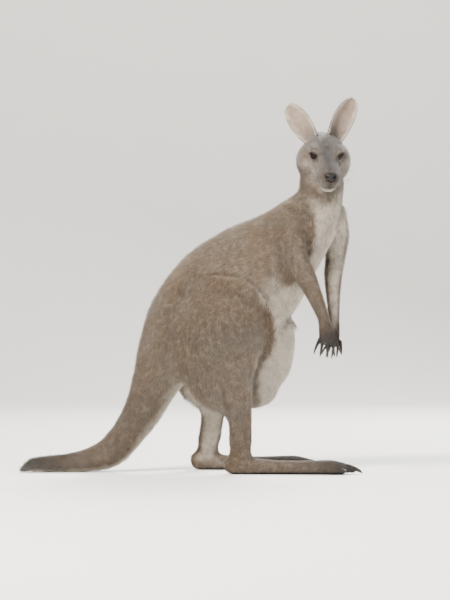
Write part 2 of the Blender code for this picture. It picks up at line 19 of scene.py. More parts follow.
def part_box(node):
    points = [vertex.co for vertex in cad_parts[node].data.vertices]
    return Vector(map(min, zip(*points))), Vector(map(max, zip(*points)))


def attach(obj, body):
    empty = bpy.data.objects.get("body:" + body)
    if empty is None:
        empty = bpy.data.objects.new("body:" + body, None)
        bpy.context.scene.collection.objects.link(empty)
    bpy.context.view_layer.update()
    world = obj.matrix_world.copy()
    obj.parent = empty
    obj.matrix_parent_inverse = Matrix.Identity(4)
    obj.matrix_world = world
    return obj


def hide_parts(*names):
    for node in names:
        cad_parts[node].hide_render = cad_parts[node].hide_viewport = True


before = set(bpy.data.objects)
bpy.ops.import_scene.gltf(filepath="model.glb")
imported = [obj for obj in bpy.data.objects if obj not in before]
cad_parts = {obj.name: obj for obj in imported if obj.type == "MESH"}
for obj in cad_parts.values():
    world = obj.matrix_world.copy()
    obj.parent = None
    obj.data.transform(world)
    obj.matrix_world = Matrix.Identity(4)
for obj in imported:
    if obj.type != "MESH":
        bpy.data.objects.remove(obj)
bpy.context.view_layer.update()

bl_info = {
    "name": "Standing kangaroo",
    "version": (1, 0, 0),
    "blender": (4, 5, 0),
    "location": "View3D > Sidebar > Kangaroo",
    "description": "Builds the skin, coat, eyes, nose, whiskers and claws of a life-size kangaroo",
    "category": "Object",
}

SIDES = {"right": -1, "left": 1}  # the right side is at -Y
SEED = 1907

# ---------------------------------------------------------------- the body's measurements
# Spine, from the tail's tip to the skull: X, Y, Z, half width, rise, drop, roll towards -Y in degrees.
SPINE = [
    (-0.425, -0.022, 0.0125, 0.012, 0.012, 0.013, 0), (-0.405, -0.02, 0.0195, 0.019, 0.019, 0.02, 0),
    (-0.365, -0.016, 0.0235, 0.025, 0.0215, 0.025, 0), (-0.312, -0.01, 0.0265, 0.029, 0.0245, 0.029, 0),
    (-0.257, -0.004, 0.035, 0.034, 0.031, 0.035, 0), (-0.205, 0.0, 0.057, 0.038, 0.039, 0.045, 0),
    (-0.159, 0.0, 0.108, 0.043, 0.042, 0.047, 0), (-0.122, 0.0, 0.168, 0.051, 0.049, 0.056, 0),
    (-0.092, 0.0, 0.231, 0.064, 0.063, 0.066, 0), (-0.055, 0.0, 0.296, 0.086, 0.092, 0.084, 0),
    (0.005, 0.0, 0.374, 0.108, 0.131, 0.125, 0), (0.088, 0.0, 0.452, 0.12, 0.15, 0.16, 4),
    (0.177, 0.0, 0.53, 0.114, 0.134, 0.15, 14), (0.25, 0.0, 0.596, 0.097, 0.102, 0.114, 30),
    (0.306, 0.0, 0.656, 0.082, 0.08, 0.088, 46), (0.335, 0.004, 0.708, 0.064, 0.064, 0.068, 62),
    (0.343, 0.01, 0.756, 0.06, 0.056, 0.06, 75), (0.343, 0.014, 0.805, 0.063, 0.05, 0.053, 83),
]
# Head, in its own frame with X from the nape to the nose: X, height, half width, rise, drop.
HEAD = [
    (0.008, 0.0, 0.042, 0.037, 0.044), (0.026, 0.001, 0.052, 0.043, 0.054),
    (0.05, 0.001, 0.056, 0.046, 0.06), (0.075, 0.0, 0.0505, 0.044, 0.059),
    (0.098, -0.001, 0.041, 0.04, 0.055), (0.12, -0.002, 0.0345, 0.0355, 0.0505),
    (0.142, -0.003, 0.0305, 0.032, 0.0465), (0.162, -0.004, 0.0285, 0.0285, 0.043),
    (0.178, -0.005, 0.0255, 0.024, 0.037),
]
# Swellings of the head's left side, in the same frame: centre and radii.
HEAD_SWELLINGS = {
    "brow": ((0.08, 0.0275, 0.022), (0.03, 0.019, 0.019)),
    "cheek": ((0.05, 0.039, -0.022), (0.044, 0.031, 0.045)),
    "lip": ((0.16, 0.014, -0.015), (0.026, 0.018, 0.023)),
    "chin": ((0.147, 0.004, -0.043), (0.028, 0.016, 0.013)),
}
HEAD_PLACE = np.array((0.3440, 0.0280, 0.8530))
HEAD_YAW = math.radians(-84.5)
HEAD_PITCH = math.radians(30.5)
EYE_PLACE = np.array((0.1000, 0.0305, 0.0215))
EYE_RADIUS = 0.0130
NOSE = (np.array((0.1895, 0.0, 0.0040)), np.array((0.0112, 0.0160, 0.0112)))  # the pad's centre and radii

# Belly, legs and arms. Rows are X, Y (for a leg, the distance from the midline), Z, half width and
# half depth ahead and behind.
BELLY = [
    (0.17, 0.0, 0.47, 0.098, 0.085, 0.08), (0.173, 0.0, 0.4, 0.102, 0.099, 0.1),
    (0.17, 0.0, 0.335, 0.096, 0.104, 0.1), (0.163, 0.0, 0.28, 0.086, 0.1, 0.09),
    (0.156, 0.0, 0.236, 0.072, 0.082, 0.076),
]
LEG = [
    (0.07, 0.046, 0.484, 0.038, 0.056, 0.07), (0.067, 0.064, 0.452, 0.06, 0.103, 0.1),
    (0.067, 0.08, 0.402, 0.074, 0.123, 0.118), (0.076, 0.09, 0.35, 0.077, 0.121, 0.124),
    (0.091, 0.096, 0.3, 0.069, 0.099, 0.124), (0.106, 0.1, 0.255, 0.055, 0.068, 0.12),
    (0.118, 0.102, 0.218, 0.042, 0.049, 0.104), (0.127, 0.102, 0.185, 0.033, 0.037, 0.08),
    (0.131, 0.101, 0.152, 0.027, 0.031, 0.044), (0.132, 0.099, 0.118, 0.0235, 0.029, 0.033),
    (0.1315, 0.096, 0.062, 0.022, 0.03, 0.032), (0.13, 0.094, 0.03, 0.024, 0.032, 0.032),
]
RUMP = ((0.0, 0.058, 0.35), (0.085, 0.062, 0.125))  # centre and radii of the swelling on each side
FOOT = [
    (0.112, 0.094, 0.028, 0.024, 0.026, 0.03), (0.15, 0.094, 0.024, 0.0255, 0.022, 0.026),
    (0.2, 0.095, 0.0195, 0.026, 0.0185, 0.021), (0.26, 0.097, 0.018, 0.0265, 0.0175, 0.0195),
    (0.32, 0.1, 0.0185, 0.0285, 0.018, 0.02), (0.362, 0.102, 0.019, 0.031, 0.018, 0.021),
    (0.39, 0.103, 0.0165, 0.027, 0.015, 0.0185),
]
# Toes: the path as X, distance from the midline, Z and radius, then the claw's length and radius.
TOES = {
    "fourth": (
        [(0.37, 0.102, 0.017, 0.0135), (0.4, 0.104, 0.0165, 0.0125), (0.418, 0.105, 0.013, 0.0105)],
        (0.03, 0.0066),
    ),
    "fifth": (
        [(0.345, 0.12, 0.013, 0.01), (0.372, 0.127, 0.012, 0.009), (0.386, 0.13, 0.0105, 0.008)],
        (0.023, 0.005),
    ),
    "third": (
        [(0.345, 0.084, 0.012, 0.0075), (0.37, 0.08, 0.011, 0.0066), (0.382, 0.079, 0.0095, 0.0058)],
        (0.015, 0.0034),
    ),
    "second": (
        [(0.342, 0.075, 0.0115, 0.0072), (0.364, 0.068, 0.0105, 0.0062), (0.375, 0.065, 0.009, 0.0055)],
        (0.014, 0.0032),
    ),
}
HIP_HEIGHT = 0.40
HOCK_HEIGHT = 0.03
STRIDE = {"right": 0.0, "left": 0.088}  # how far back each foot stands
ARMS = {
    "right": [
        (0.266, -0.046, 0.668, 0.042, 0.046, 0.046), (0.264, -0.084, 0.618, 0.036, 0.039, 0.039),
        (0.273, -0.112, 0.558, 0.03, 0.032, 0.031), (0.297, -0.128, 0.506, 0.027, 0.028, 0.028),
        (0.321, -0.142, 0.454, 0.0205, 0.0215, 0.0215), (0.341, -0.152, 0.402, 0.0155, 0.0165, 0.0165),
        (0.348, -0.155, 0.37, 0.014, 0.02, 0.02), (0.351, -0.156, 0.346, 0.012, 0.0225, 0.0225),
    ],
    "left": [
        (0.364, 0.044, 0.676, 0.042, 0.048, 0.042), (0.38, 0.054, 0.622, 0.035, 0.04, 0.036),
        (0.38, 0.046, 0.562, 0.029, 0.029, 0.029), (0.374, 0.02, 0.508, 0.026, 0.024, 0.026),
        (0.373, -0.004, 0.452, 0.02, 0.0185, 0.02), (0.374, -0.026, 0.398, 0.016, 0.015, 0.0155),
        (0.374, -0.034, 0.366, 0.019, 0.015, 0.015), (0.374, -0.037, 0.342, 0.021, 0.0135, 0.0135),
    ],
}
HAND_ACROSS = {"right": (1.0, 0.0), "left": (0.75, -0.66)}  # X and Y across each palm
PALM_COLUMN = {"right": 4, "left": 3}  # the size in an arm's last row that is half the palm's width
FINGERS = ("first", "second", "third", "fourth", "fifth")
FINGER_LENGTH = 0.030
FINGER_RADIUS = 0.0050
FINGER_CLAW = (0.0185, 0.0032)  # length and radius
CLAW_ROOT = 0.34  # share of a claw that is inside the toe or finger
# Ears: the root in the head's frame, then the ways of the tip and of the mouth in the body's.
EARS = {
    "right": ((0.012, -0.027, 0.023), (-0.54, 0.36, 0.76), (-0.22, -0.97, 0.0)),
    "left": ((0.012, 0.0265, 0.025), (0.455, 0.1, 0.885), (0.15, -0.98, 0.0)),
}
# Along an ear: the distance from its root, the half width, and the curl in degrees.
EAR_ROWS = [
    (-0.012, 0.019, 118), (0.01, 0.0235, 102), (0.034, 0.027, 82), (0.06, 0.028, 64), (0.086, 0.0248, 54),
    (0.105, 0.0175, 46), (0.115, 0.008, 40),
]
# Places where the skin is smoothed more: centre and reach.
BLENDS = [
    ((0.06, -0.08, 0.36), 0.27), ((0.04, 0.08, 0.36), 0.27), ((0.262, -0.06, 0.645), 0.115),
    ((0.335, 0.02, 0.665), 0.05), ((0.2, 0.0, 0.42), 0.16), ((0.155, 0.0, 0.2), 0.12),
    ((0.345, 0.01, 0.735), 0.055), ((0.345, 0.08, 0.8), 0.075), ((0.352, 0.05, 0.68), 0.095),
    ((0.166, -0.096, 0.052), 0.032), ((0.096, -0.094, 0.06), 0.024), ((0.08, 0.096, 0.052), 0.032),
    ((0.01, 0.094, 0.06), 0.024),
]

# ---------------------------------------------------------------- the coat along each mass
# For each mass, from its first row to its last: the share along it, the coat's depth, the length of
# its hair, how dark it is (0 to 1) and how much paler it is all round (0 is none).
COAT = {
    "spine": [
        (0.0, 0.0045, 0.02, 1.0, 0.0), (0.13, 0.005, 0.017, 0.85, -0.2),
        (0.27, 0.0055, 0.016, 0.4, -0.36), (0.45, 0.0065, 0.019, 0.14, -0.26),
        (0.58, 0.0085, 0.023, 0.06, 0.0), (0.76, 0.0085, 0.023, 0.05, 0.0),
        (0.88, 0.007, 0.019, 0.05, 0.0), (1.0, 0.005, 0.012, 0.1, 0.0),
    ],
    "belly": [(0.0, 0.008, 0.024, 0.0, 0.35), (1.0, 0.0065, 0.022, 0.0, 0.45)],
    "leg": [
        (0.0, 0.0085, 0.022, 0.05, 0.0), (0.45, 0.008, 0.023, 0.02, 0.0),
        (0.62, 0.0055, 0.017, 0.04, 0.0), (0.8, 0.003, 0.01, 0.15, 0.0), (1.0, 0.0022, 0.007, 0.25, 0.0),
    ],
    "foot": [
        (0.0, 0.002, 0.007, 0.25, -0.5), (0.6, 0.0016, 0.0065, 0.45, -0.5), (1.0, 0.0012, 0.005, 0.8, -0.5),
    ],
    "toe": [(0.0, 0.0012, 0.0045, 0.8, -0.5), (1.0, 0.0008, 0.004, 1.0, -0.5)],
    "arm": [
        (0.0, 0.007, 0.018, 0.03, 0.0), (0.4, 0.0045, 0.014, 0.06, 0.0),
        (0.72, 0.0025, 0.009, 0.35, -0.1), (1.0, 0.0014, 0.005, 0.95, -0.5),
    ],
    "finger": [(0.0, 0.0008, 0.0035, 1.0, -0.5), (1.0, 0.0006, 0.0028, 1.0, -0.5)],
    "head": [
        (0.0, 0.0042, 0.011, 0.14, 0.0), (0.35, 0.0034, 0.009, 0.2, 0.0),
        (0.62, 0.0022, 0.0062, 0.34, 0.0), (0.85, 0.0016, 0.0042, 0.5, 0.0),
        (1.0, 0.0012, 0.0032, 0.8, 0.0),
    ],
}
# The pieces of the coat, and how many tufts each holds. A mass's hair belongs to one piece; the spine's
# is shared out by the share along it.
TUFTS = {
    "coat_tail": 36000,
    "coat_back": 46000,
    "coat_chest": 40000,
    "coat_belly": 27000,
    "coat_leg_right": 42000,
    "coat_leg_left": 37000,
    "coat_feet": 28000,
    "coat_arms": 40000,
    "coat_head": 48000,
    "coat_ears": 26000,
}
SPINE_PIECES = [(0.47, "coat_tail"), (0.74, "coat_back"), (2.0, "coat_chest")]


def linear(code):
    """Linear colour of an sRGB hex code."""
    shares = [int(code[k : k + 2], 16) / 255 for k in (1, 3, 5)]
    return tuple(c / 12.92 if c <= 0.04045 else ((c + 0.055) / 1.055) ** 2.4 for c in shares)


def length_setting(name, what, default):
    return FloatProperty(
        name=name, description=what, default=default, min=0.0, subtype="DISTANCE", unit="LENGTH"
    )


def colour_setting(name, what, code):
    return FloatVectorProperty(
        name=name, description=what, default=linear(code), size=3, min=0.0, max=1.0, subtype="COLOR"
    )


class KangarooSizes(bpy.types.PropertyGroup):
    grain: length_setting("Skin grain", "Size of the skin's mesh", 0.0026)
    tuft_width: length_setting("Tuft width", "Width of a tuft of body hair at its root", 0.00122)
    tuft_lift: FloatProperty(
        name="Tuft lift", description="Rise of the tufts' tips as a share of the coat's depth", default=1.05
    )
    tuft_share: FloatProperty(
        name="Tuft share", description="Share of the tufts that are made", default=1.0
    )
    whisker_radius: length_setting("Whisker radius", "Radius of a whisker at its root", 0.00030)
    lid_thickness: length_setting("Lid thickness", "Thickness of the eyelids at their rim", 0.0009)


class KangarooColours(bpy.types.PropertyGroup):
    back: colour_setting("Back", "Grey-brown guard hair", "#73675A")
    warm: colour_setting("Warm", "Browner hair in the coat's mottling", "#7A644E")
    pale: colour_setting("Underside", "Hair of the belly, throat and inner limbs", "#C9BFB0")
    # The points' colour also paints the shade round the eyes, in the hollows before them, in the pouch's
    # fold and deep in the ears.
    dark: colour_setting("Points", "Hair of the hands, toes, muzzle and tail tip", "#26201C")
    bare: colour_setting("Bare skin", "Nose, lips and eyelids", "#0F0D0C")
    horn: colour_setting("Claws", "Dark horn", "#141110")
    iris: colour_setting("Iris", "Brown of the eye", "#170D08")


class KangarooStage(bpy.types.PropertyGroup):
    camera_distance: length_setting("Camera distance", "From the camera to the animal's midline", 7.0)
    camera_height: length_setting("Camera height", "Above the floor", 0.447)
    floor_colour: colour_setting("Floor", "Pale matt floor and backdrop", "#EFEDE8")
    key_power: FloatProperty(
        name="Key light", description="Power of the large soft light", default=900.0, unit="POWER"
    )


# ---------------------------------------------------------------- mathematics of the shapes
def smooth_rows(rows, steps):
    """Catmull-Rom curve through the rows, each column alike, with `steps` samples a stretch."""
    rows = np.asarray(rows, float)
    padded = np.vstack([2 * rows[0] - rows[1], rows, 2 * rows[-1] - rows[-2]])
    t = np.arange(steps)[:, None] / steps
    stretches = []
    for a, b, c, d in zip(padded, padded[1:], padded[2:], padded[3:]):
        cubic = 2 * b + (c - a) * t + (2 * a - 5 * b + 4 * c - d) * t**2 + (3 * b - 3 * c + d - a) * t**3
        stretches.append(cubic / 2)
    return np.vstack([*stretches, rows[-1:]])


def unit(vectors):
    """Vectors of length one along the last axis."""
    return vectors / np.maximum(np.linalg.norm(vectors, axis=-1, keepdims=True), 1e-12)


def smoothstep(low, high, values):
    """0 below low, 1 above high, and 3t^2 - 2t^3 between them."""
    t = np.clip((values - low) / (high - low), 0, 1)
    return t * t * (3 - 2 * t)


def bell(values, middle, spread):
    """e to the minus the square of how far the values are from the middle, in units of the spread."""
    return np.exp(-(((values - middle) / spread) ** 2))


def dent(points, centre, radii):
    """A bell in space: e to the minus the squared distance from a centre, in units of the radii."""
    return np.exp(-(((points - np.asarray(centre)) / np.asarray(radii)) ** 2).sum(-1))


def turning(yaw, pitch):
    """Matrix of a turn about Y by the pitch and then about Z by the yaw."""
    cy, sy, cp, sp = math.cos(yaw), math.sin(yaw), math.cos(pitch), math.sin(pitch)
    about_z = np.array([[cy, -sy, 0], [sy, cy, 0], [0, 0, 1]])
    return about_z @ np.array([[cp, 0, sp], [0, 1, 0], [-sp, 0, cp]])


HEAD_TURN = turning(HEAD_YAW, HEAD_PITCH)


def from_head(points):
    """Places in the head's frame, given in the body's."""
    return np.asarray(points, float) @ HEAD_TURN.T + HEAD_PLACE


def to_head(points):
    """Places in the body's frame, given in the head's."""
    return (np.asarray(points, float) - HEAD_PLACE) @ HEAD_TURN


# How far the solids' frame is from the frame of the measurements, by the middle of the right eye.
SHIFT = np.mean(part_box("eye_right"), 0) - from_head(EYE_PLACE * (1, SIDES["right"], 1))
END_TURNS = np.radians([15, 30, 45, 60, 73, 84])  # of the rings that close a mass's ends


class Mass:
    """A tube of oval sections along a path, with the axes of each section and the coat along it."""

    def __init__(self, kind, rows, steps=5, in_head=False, piece="", flow=1, pale_side=None, pale_bias=0.0):
        rows = smooth_rows(rows, steps)
        share = np.linspace(0, 1, len(rows))
        at, *columns = np.array(COAT[kind]).T
        self.kind, self.piece, self.flow, self.share = kind, piece, flow, share
        self.depth, self.hair, self.dark, self.pale = (np.interp(share, at, column) for column in columns)
        self.centre = rows[:, :3]
        self.width, self.rise, self.drop = rows[:, 3], rows[:, 4], rows[:, 5]
        roll = np.radians(rows[:, 6:7]) if rows.shape[1] > 6 else np.zeros((len(rows), 1))
        self.tangent = unit(np.gradient(self.centre, axis=0))
        across = unit(np.array([0.0, 1.0, 0.0]) - self.tangent * self.tangent[:, 1:2])
        up = np.cross(self.tangent, across)
        self.up = np.cos(roll) * up + np.sin(roll) * across
        self.across = np.cos(roll) * across - np.sin(roll) * up
        if in_head:
            self.centre = from_head(self.centre)
            axes = self.tangent, self.up, self.across
            self.tangent, self.up, self.across = (axis @ HEAD_TURN.T for axis in axes)
        side = -self.up if pale_side is None else np.broadcast_to(pale_side, self.up.shape)
        self.pale_side, self.pale = side, self.pale + pale_bias

    def mesh(self, sides, square):
        """Corners and faces of the closed tube, inside the solids by the coat's depth. A section is a
        superellipse; each end is closed by rings that shrink as a quarter circle."""
        sizes = [size - self.depth for size in (self.width, self.rise, self.drop)]
        columns = [self.centre, *sizes, self.up, self.across]
        for end, order in ((0, slice(None, None, -1)), (-1, slice(None))):
            reach = min(columns[k][end] for k in (1, 2, 3))
            way = self.tangent[end] * (-1 if end == 0 else 1)
            further = columns[0][end] + reach * np.sin(END_TURNS)[:, None] * way
            ends = [further[order], *((np.cos(END_TURNS) * columns[k][end])[order] for k in (1, 2, 3))]
            ends += [np.repeat(columns[k][end][None], len(END_TURNS), 0) for k in (4, 5)]
            columns = [np.concatenate([b, a] if end == 0 else [a, b]) for a, b in zip(columns, ends)]
        centre, width, rise, drop, up, across = columns
        flat, tall = (np.sign(v) * np.abs(v) ** (2 / square) for v in circle(sides))
        height = np.where(tall > 0, rise[:, None] * tall, drop[:, None] * tall)
        return rings(centre, across, up, width[:, None] * flat, height)


def circle(sides):
    """The cosine and the sine of evenly spaced turns round a circle."""
    turn = np.linspace(0, 2 * np.pi, sides, endpoint=False)
    return np.cos(turn), np.sin(turn)


def grid_quads(index):
    """Quads between the neighbours in a grid of corner numbers."""
    return np.stack([index[:-1, :-1], index[:-1, 1:], index[1:, 1:], index[1:, :-1]], -1).reshape(-1, 4)


def tube_faces(count, sides):
    """Faces of a closed tube with flat ends: quads between its rings, and one polygon at each end."""
    index = np.arange(count * sides).reshape(count, sides)
    quads = grid_quads(np.pad(index, ((0, 0), (0, 1)), "wrap"))
    return [*quads.tolist(), index[0][::-1].tolist(), index[-1].tolist()]


def rings(centre, across, up, wide, tall):
    """Corners and faces of a closed tube: each ring is its centre, plus its width and its height along
    its two axes."""
    corners = centre[:, None] + wide[..., None] * across[:, None] + tall[..., None] * up[:, None]
    return corners.reshape(-1, 3), tube_faces(*corners.shape[:2])


def round_tube(path, radii, hint, sides):
    """Corners and faces of a closed tube of circles along a path. The hint turns the first corner."""
    tangent = unit(np.gradient(path, axis=0))
    aside = unit(np.cross(tangent, hint))
    wide, tall = (radii[:, None] * share for share in circle(sides))
    return rings(path, aside, np.cross(tangent, aside), wide, tall)


def ball(centre, radii, count=18, sides=28):
    """Corners and faces of an ellipsoid: radii times (sin a cos b, sin a sin b, cos a)."""
    a = np.linspace(0.12, np.pi - 0.12, count)[:, None]
    cosine, sine = circle(sides)
    shape = np.stack([np.sin(a) * cosine, np.sin(a) * sine, np.cos(a) + 0 * sine], -1)
    return np.asarray(centre) + shape.reshape(-1, 3) * np.asarray(radii), tube_faces(count, sides)


def stride_shift(side, z):
    """How far back the leg on a side stands at a height: none at the hip, all at the foot."""
    share = min(max((HIP_HEIGHT - z) / (HIP_HEIGHT - HOCK_HEIGHT), 0.0), 1.0)
    return STRIDE[side] * (share + math.sin(share * math.pi / 2)) / 2


def leg_rows(rows, side):
    """Rows of a leg on its own side, set back by the stride."""
    return [(x - stride_shift(side, z), SIDES[side] * out, z, *sizes) for x, out, z, *sizes in rows]


def round_rows(path):
    """Rows of round sections, from places and radii."""
    return [(*place, r, r, r) for *place, r in path]


def finger_paths(side):
    """Each finger's rows, and its claw's root and direction. The fingers fan out across the palm."""
    palm = Vector(ARMS[side][-1][:3])
    half = ARMS[side][-1][PALM_COLUMN[side]] - FINGER_RADIUS * 0.4
    across = Vector((*HAND_ACROSS[side], 0.0)).normalized()
    ahead = Vector((0.0, 0.0, 1.0)).cross(across)
    paths = {}
    for k, finger in enumerate(FINGERS):
        share = 2 * k / (len(FINGERS) - 1) - 1
        root = palm + across * half * share
        way = (Vector((0, 0, -1)) + across * 0.42 * share - ahead * 0.10).normalized()
        length = FINGER_LENGTH * (1.0 - 0.24 * share**2)
        path = []
        for s in (0.0, 0.5, 1.0):
            place = root + way * length * s - ahead * 0.004 * s * s
            path.append((*place, FINGER_RADIUS * (1 - 0.12 * s)))
        paths[finger] = (round_rows(path), Vector(path[-1][:3]), (way - ahead * 0.35).normalized())
    return paths


def body_masses():
    """Every mass that has a path, with the way its hair grows and where it is pale."""
    masses = [Mass("spine", SPINE, flow=-1, pale_bias=-0.32)]
    masses.append(Mass("belly", BELLY, piece="coat_belly", pale_side=(0.9, 0.0, -0.45)))
    head = [(x, 0.0, z, *sizes) for x, z, *sizes in HEAD]
    masses.append(Mass("head", head, in_head=True, piece="coat_head", flow=-1, pale_bias=-0.42))
    for side, sign in SIDES.items():
        inner = (0.1, -sign, -0.1)
        leg, foot = leg_rows(LEG, side), leg_rows(FOOT, side)
        masses.append(Mass("leg", leg, piece=f"coat_leg_{side}", pale_side=inner, pale_bias=-0.50))
        masses.append(Mass("foot", foot, piece="coat_feet", pale_side=inner, pale_bias=-0.5))
        for path, _ in TOES.values():
            masses.append(Mass("toe", leg_rows(round_rows(path), side), piece="coat_feet", pale_bias=-0.5))
        masses.append(Mass("arm", ARMS[side], piece="coat_arms", pale_side=inner, pale_bias=-0.40))
        for rows, _, _ in finger_paths(side).values():
            masses.append(Mass("finger", rows, steps=4, piece="coat_arms", pale_bias=-0.5))
    return masses


def neighbour_mean(values, edges, degree):
    """Mean of each corner's neighbours along the edges."""
    values = values.reshape(len(degree), -1)
    columns = []
    for column in values.T:
        total = np.bincount(edges[:, 0], column[edges[:, 1]], len(degree))
        total += np.bincount(edges[:, 1], column[edges[:, 0]], len(degree))
        columns.append(total / degree)
    return np.stack(columns, -1)


def relaxed(values, edges, turns, factor=0.5):
    """Values eased towards their neighbours' mean, so many times. The factor may differ by corner."""
    degree = np.maximum(np.bincount(edges.ravel(), minlength=len(values)), 1)
    shape = values.shape
    values = values.reshape(len(values), -1)
    factor = np.broadcast_to(np.asarray(factor, float).reshape(-1, 1), (len(values), 1))
    for _ in range(turns):
        values = values + factor * (neighbour_mean(values, edges, degree) - values)
    return values.reshape(shape)


def waves(points, size, seed, layers=5):
    """Smooth noise between about -1 and 1: a sum of sine waves of one size in different directions."""
    rng = np.random.default_rng(seed)
    total = np.zeros(len(points))
    for _ in range(layers):
        way = unit(rng.normal(size=3)) * 2 * np.pi / size * rng.uniform(0.7, 1.4)
        total += np.sin(points @ way + rng.uniform(0, 2 * np.pi))
    return total / math.sqrt(layers)


# ---------------------------------------------------------------- mesh helpers
def read(layer, name, width, kind=np.float32):
    """A layer of a mesh as an array."""
    values = np.empty(len(layer) * width, kind)
    layer.foreach_get(name, values)
    return values.reshape(-1, width).astype(float if kind is np.float32 else kind)


def mesh_of(name, corners, faces):
    """A mesh from its corners and a list of its faces."""
    mesh = bpy.data.meshes.new(name)
    mesh.from_pydata(np.asarray(corners, float).tolist(), [], faces)
    return mesh


def joined(name, shapes):
    """One mesh of several lists of corners and faces."""
    corners, faces, start = [], [], 0
    for points, polygons in shapes:
        corners.append(points)
        faces += [[k + start for k in polygon] for polygon in polygons]
        start += len(points)
    return mesh_of(name, np.concatenate(corners), faces)


def outward(mesh):
    """Turn the faces of closed shapes outwards."""
    shape = bmesh.new()
    shape.from_mesh(mesh)
    bmesh.ops.recalc_face_normals(shape, faces=shape.faces)
    shape.to_mesh(mesh)
    shape.free()
    return mesh


def placed(name, mesh, finish, nodes=()):
    """A finished piece: its mesh in the solids' frame and its material. The solids' parts that it stands for
    are hidden.
    """
    piece = bpy.data.objects.new(name, mesh)
    bpy.context.scene.collection.objects.link(piece)
    mesh.materials.clear()
    mesh.materials.append(finish)
    mesh.shade_smooth()
    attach(piece, "root")
    if nodes:
        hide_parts(*nodes)
    return piece


def applied(obj):
    """Make an object's modifiers part of its mesh."""
    graph = bpy.context.evaluated_depsgraph_get()
    graph.update()
    made = bpy.data.meshes.new_from_object(obj.evaluated_get(graph), depsgraph=graph)
    obj.modifiers.clear()
    obj.data = made
    return made


def put_attribute(mesh, name, values):
    """Values at the corners of a mesh: numbers, or vectors if they have columns."""
    kind, field = ("FLOAT", "value") if values.ndim == 1 else ("FLOAT_VECTOR", "vector")
    mesh.attributes.new(name, kind, "POINT").data.foreach_set(field, values.ravel())


def joined_values(name, shapes, *fields):
    """Several shapes as one mesh in the solids' frame. A shape is its corners, its faces, and then its
    values at the corners for each of the named fields."""
    mesh = outward(joined(name, [(shape[0] + SHIFT, shape[1]) for shape in shapes]))
    for k, field in enumerate(fields):
        put_attribute(mesh, field, np.concatenate([shape[2 + k] for shape in shapes]))
    return mesh


def triangle_mesh(name, corners, triangles):
    """A mesh from an array of corners and an array of triangles."""
    mesh = bpy.data.meshes.new(name)
    mesh.vertices.add(len(corners))
    mesh.vertices.foreach_set("co", np.asarray(corners, np.float32).ravel())
    mesh.loops.add(triangles.size)
    mesh.loops.foreach_set("vertex_index", triangles.ravel().astype(np.int32))
    mesh.polygons.add(len(triangles))
    mesh.polygons.foreach_set("loop_start", np.arange(len(triangles), dtype=np.int32) * 3)
    mesh.update(calc_edges=True)
    return mesh


def unwrap(obj):
    """An unwrap of the surface, in a map named OFBake."""
    obj.data.uv_layers.new(name="OFBake")
    bpy.ops.object.select_all(action="DESELECT")
    obj.select_set(True)
    bpy.context.view_layer.objects.active = obj
    bpy.ops.object.mode_set(mode="EDIT")
    bpy.ops.mesh.select_all(action="SELECT")
    bpy.ops.uv.smart_project(angle_limit=math.radians(70), island_margin=0.002)
    bpy.ops.object.mode_set(mode="OBJECT")


# ---------------------------------------------------------------- materials
def fill(tree, node, inputs):
    """Give each of a node's sockets a value, or a link to another node's output."""
    for socket, value in inputs.items():
        if isinstance(value, bpy.types.NodeSocket):
            tree.links.new(value, node.inputs[socket])
        else:
            node.inputs[socket].default_value = value


def add(tree, kind, inputs, output=0, **settings):
    """Add a node with its settings and links, and return one of its outputs."""
    made = tree.nodes.new("ShaderNode" + kind)
    for name, value in settings.items():
        setattr(made, name, value)
    fill(tree, made, inputs)
    return made.outputs[output]


MIX = {"output": 2, "data_type": "RGBA"}  # the colours of a Mix node are its sockets 6 and 7


def rgba(colour, share=1.0):
    """A linear colour, or the hex code of one, with its alpha. The share darkens or lightens it."""
    colour = linear(colour) if isinstance(colour, str) else colour
    return (*(share * c for c in colour), 1.0)


def new_material(name):
    """A material, its node tree and its Object coordinates, on which patterns have cycles a metre."""
    made = bpy.data.materials.new(name)
    made.use_nodes = True
    return made, made.node_tree, add(made.node_tree, "TexCoord", {}, "Object")


def finished(made, inputs, relief=None):
    """Fill the sockets of a material's shader. The relief is a height, its strength and its depth."""
    tree = made.node_tree
    if relief:
        height, strength, depth = relief
        inputs["Normal"] = add(tree, "Bump", {"Height": height, "Strength": strength, "Distance": depth})
    fill(tree, tree.nodes["Principled BSDF"], inputs)
    return made


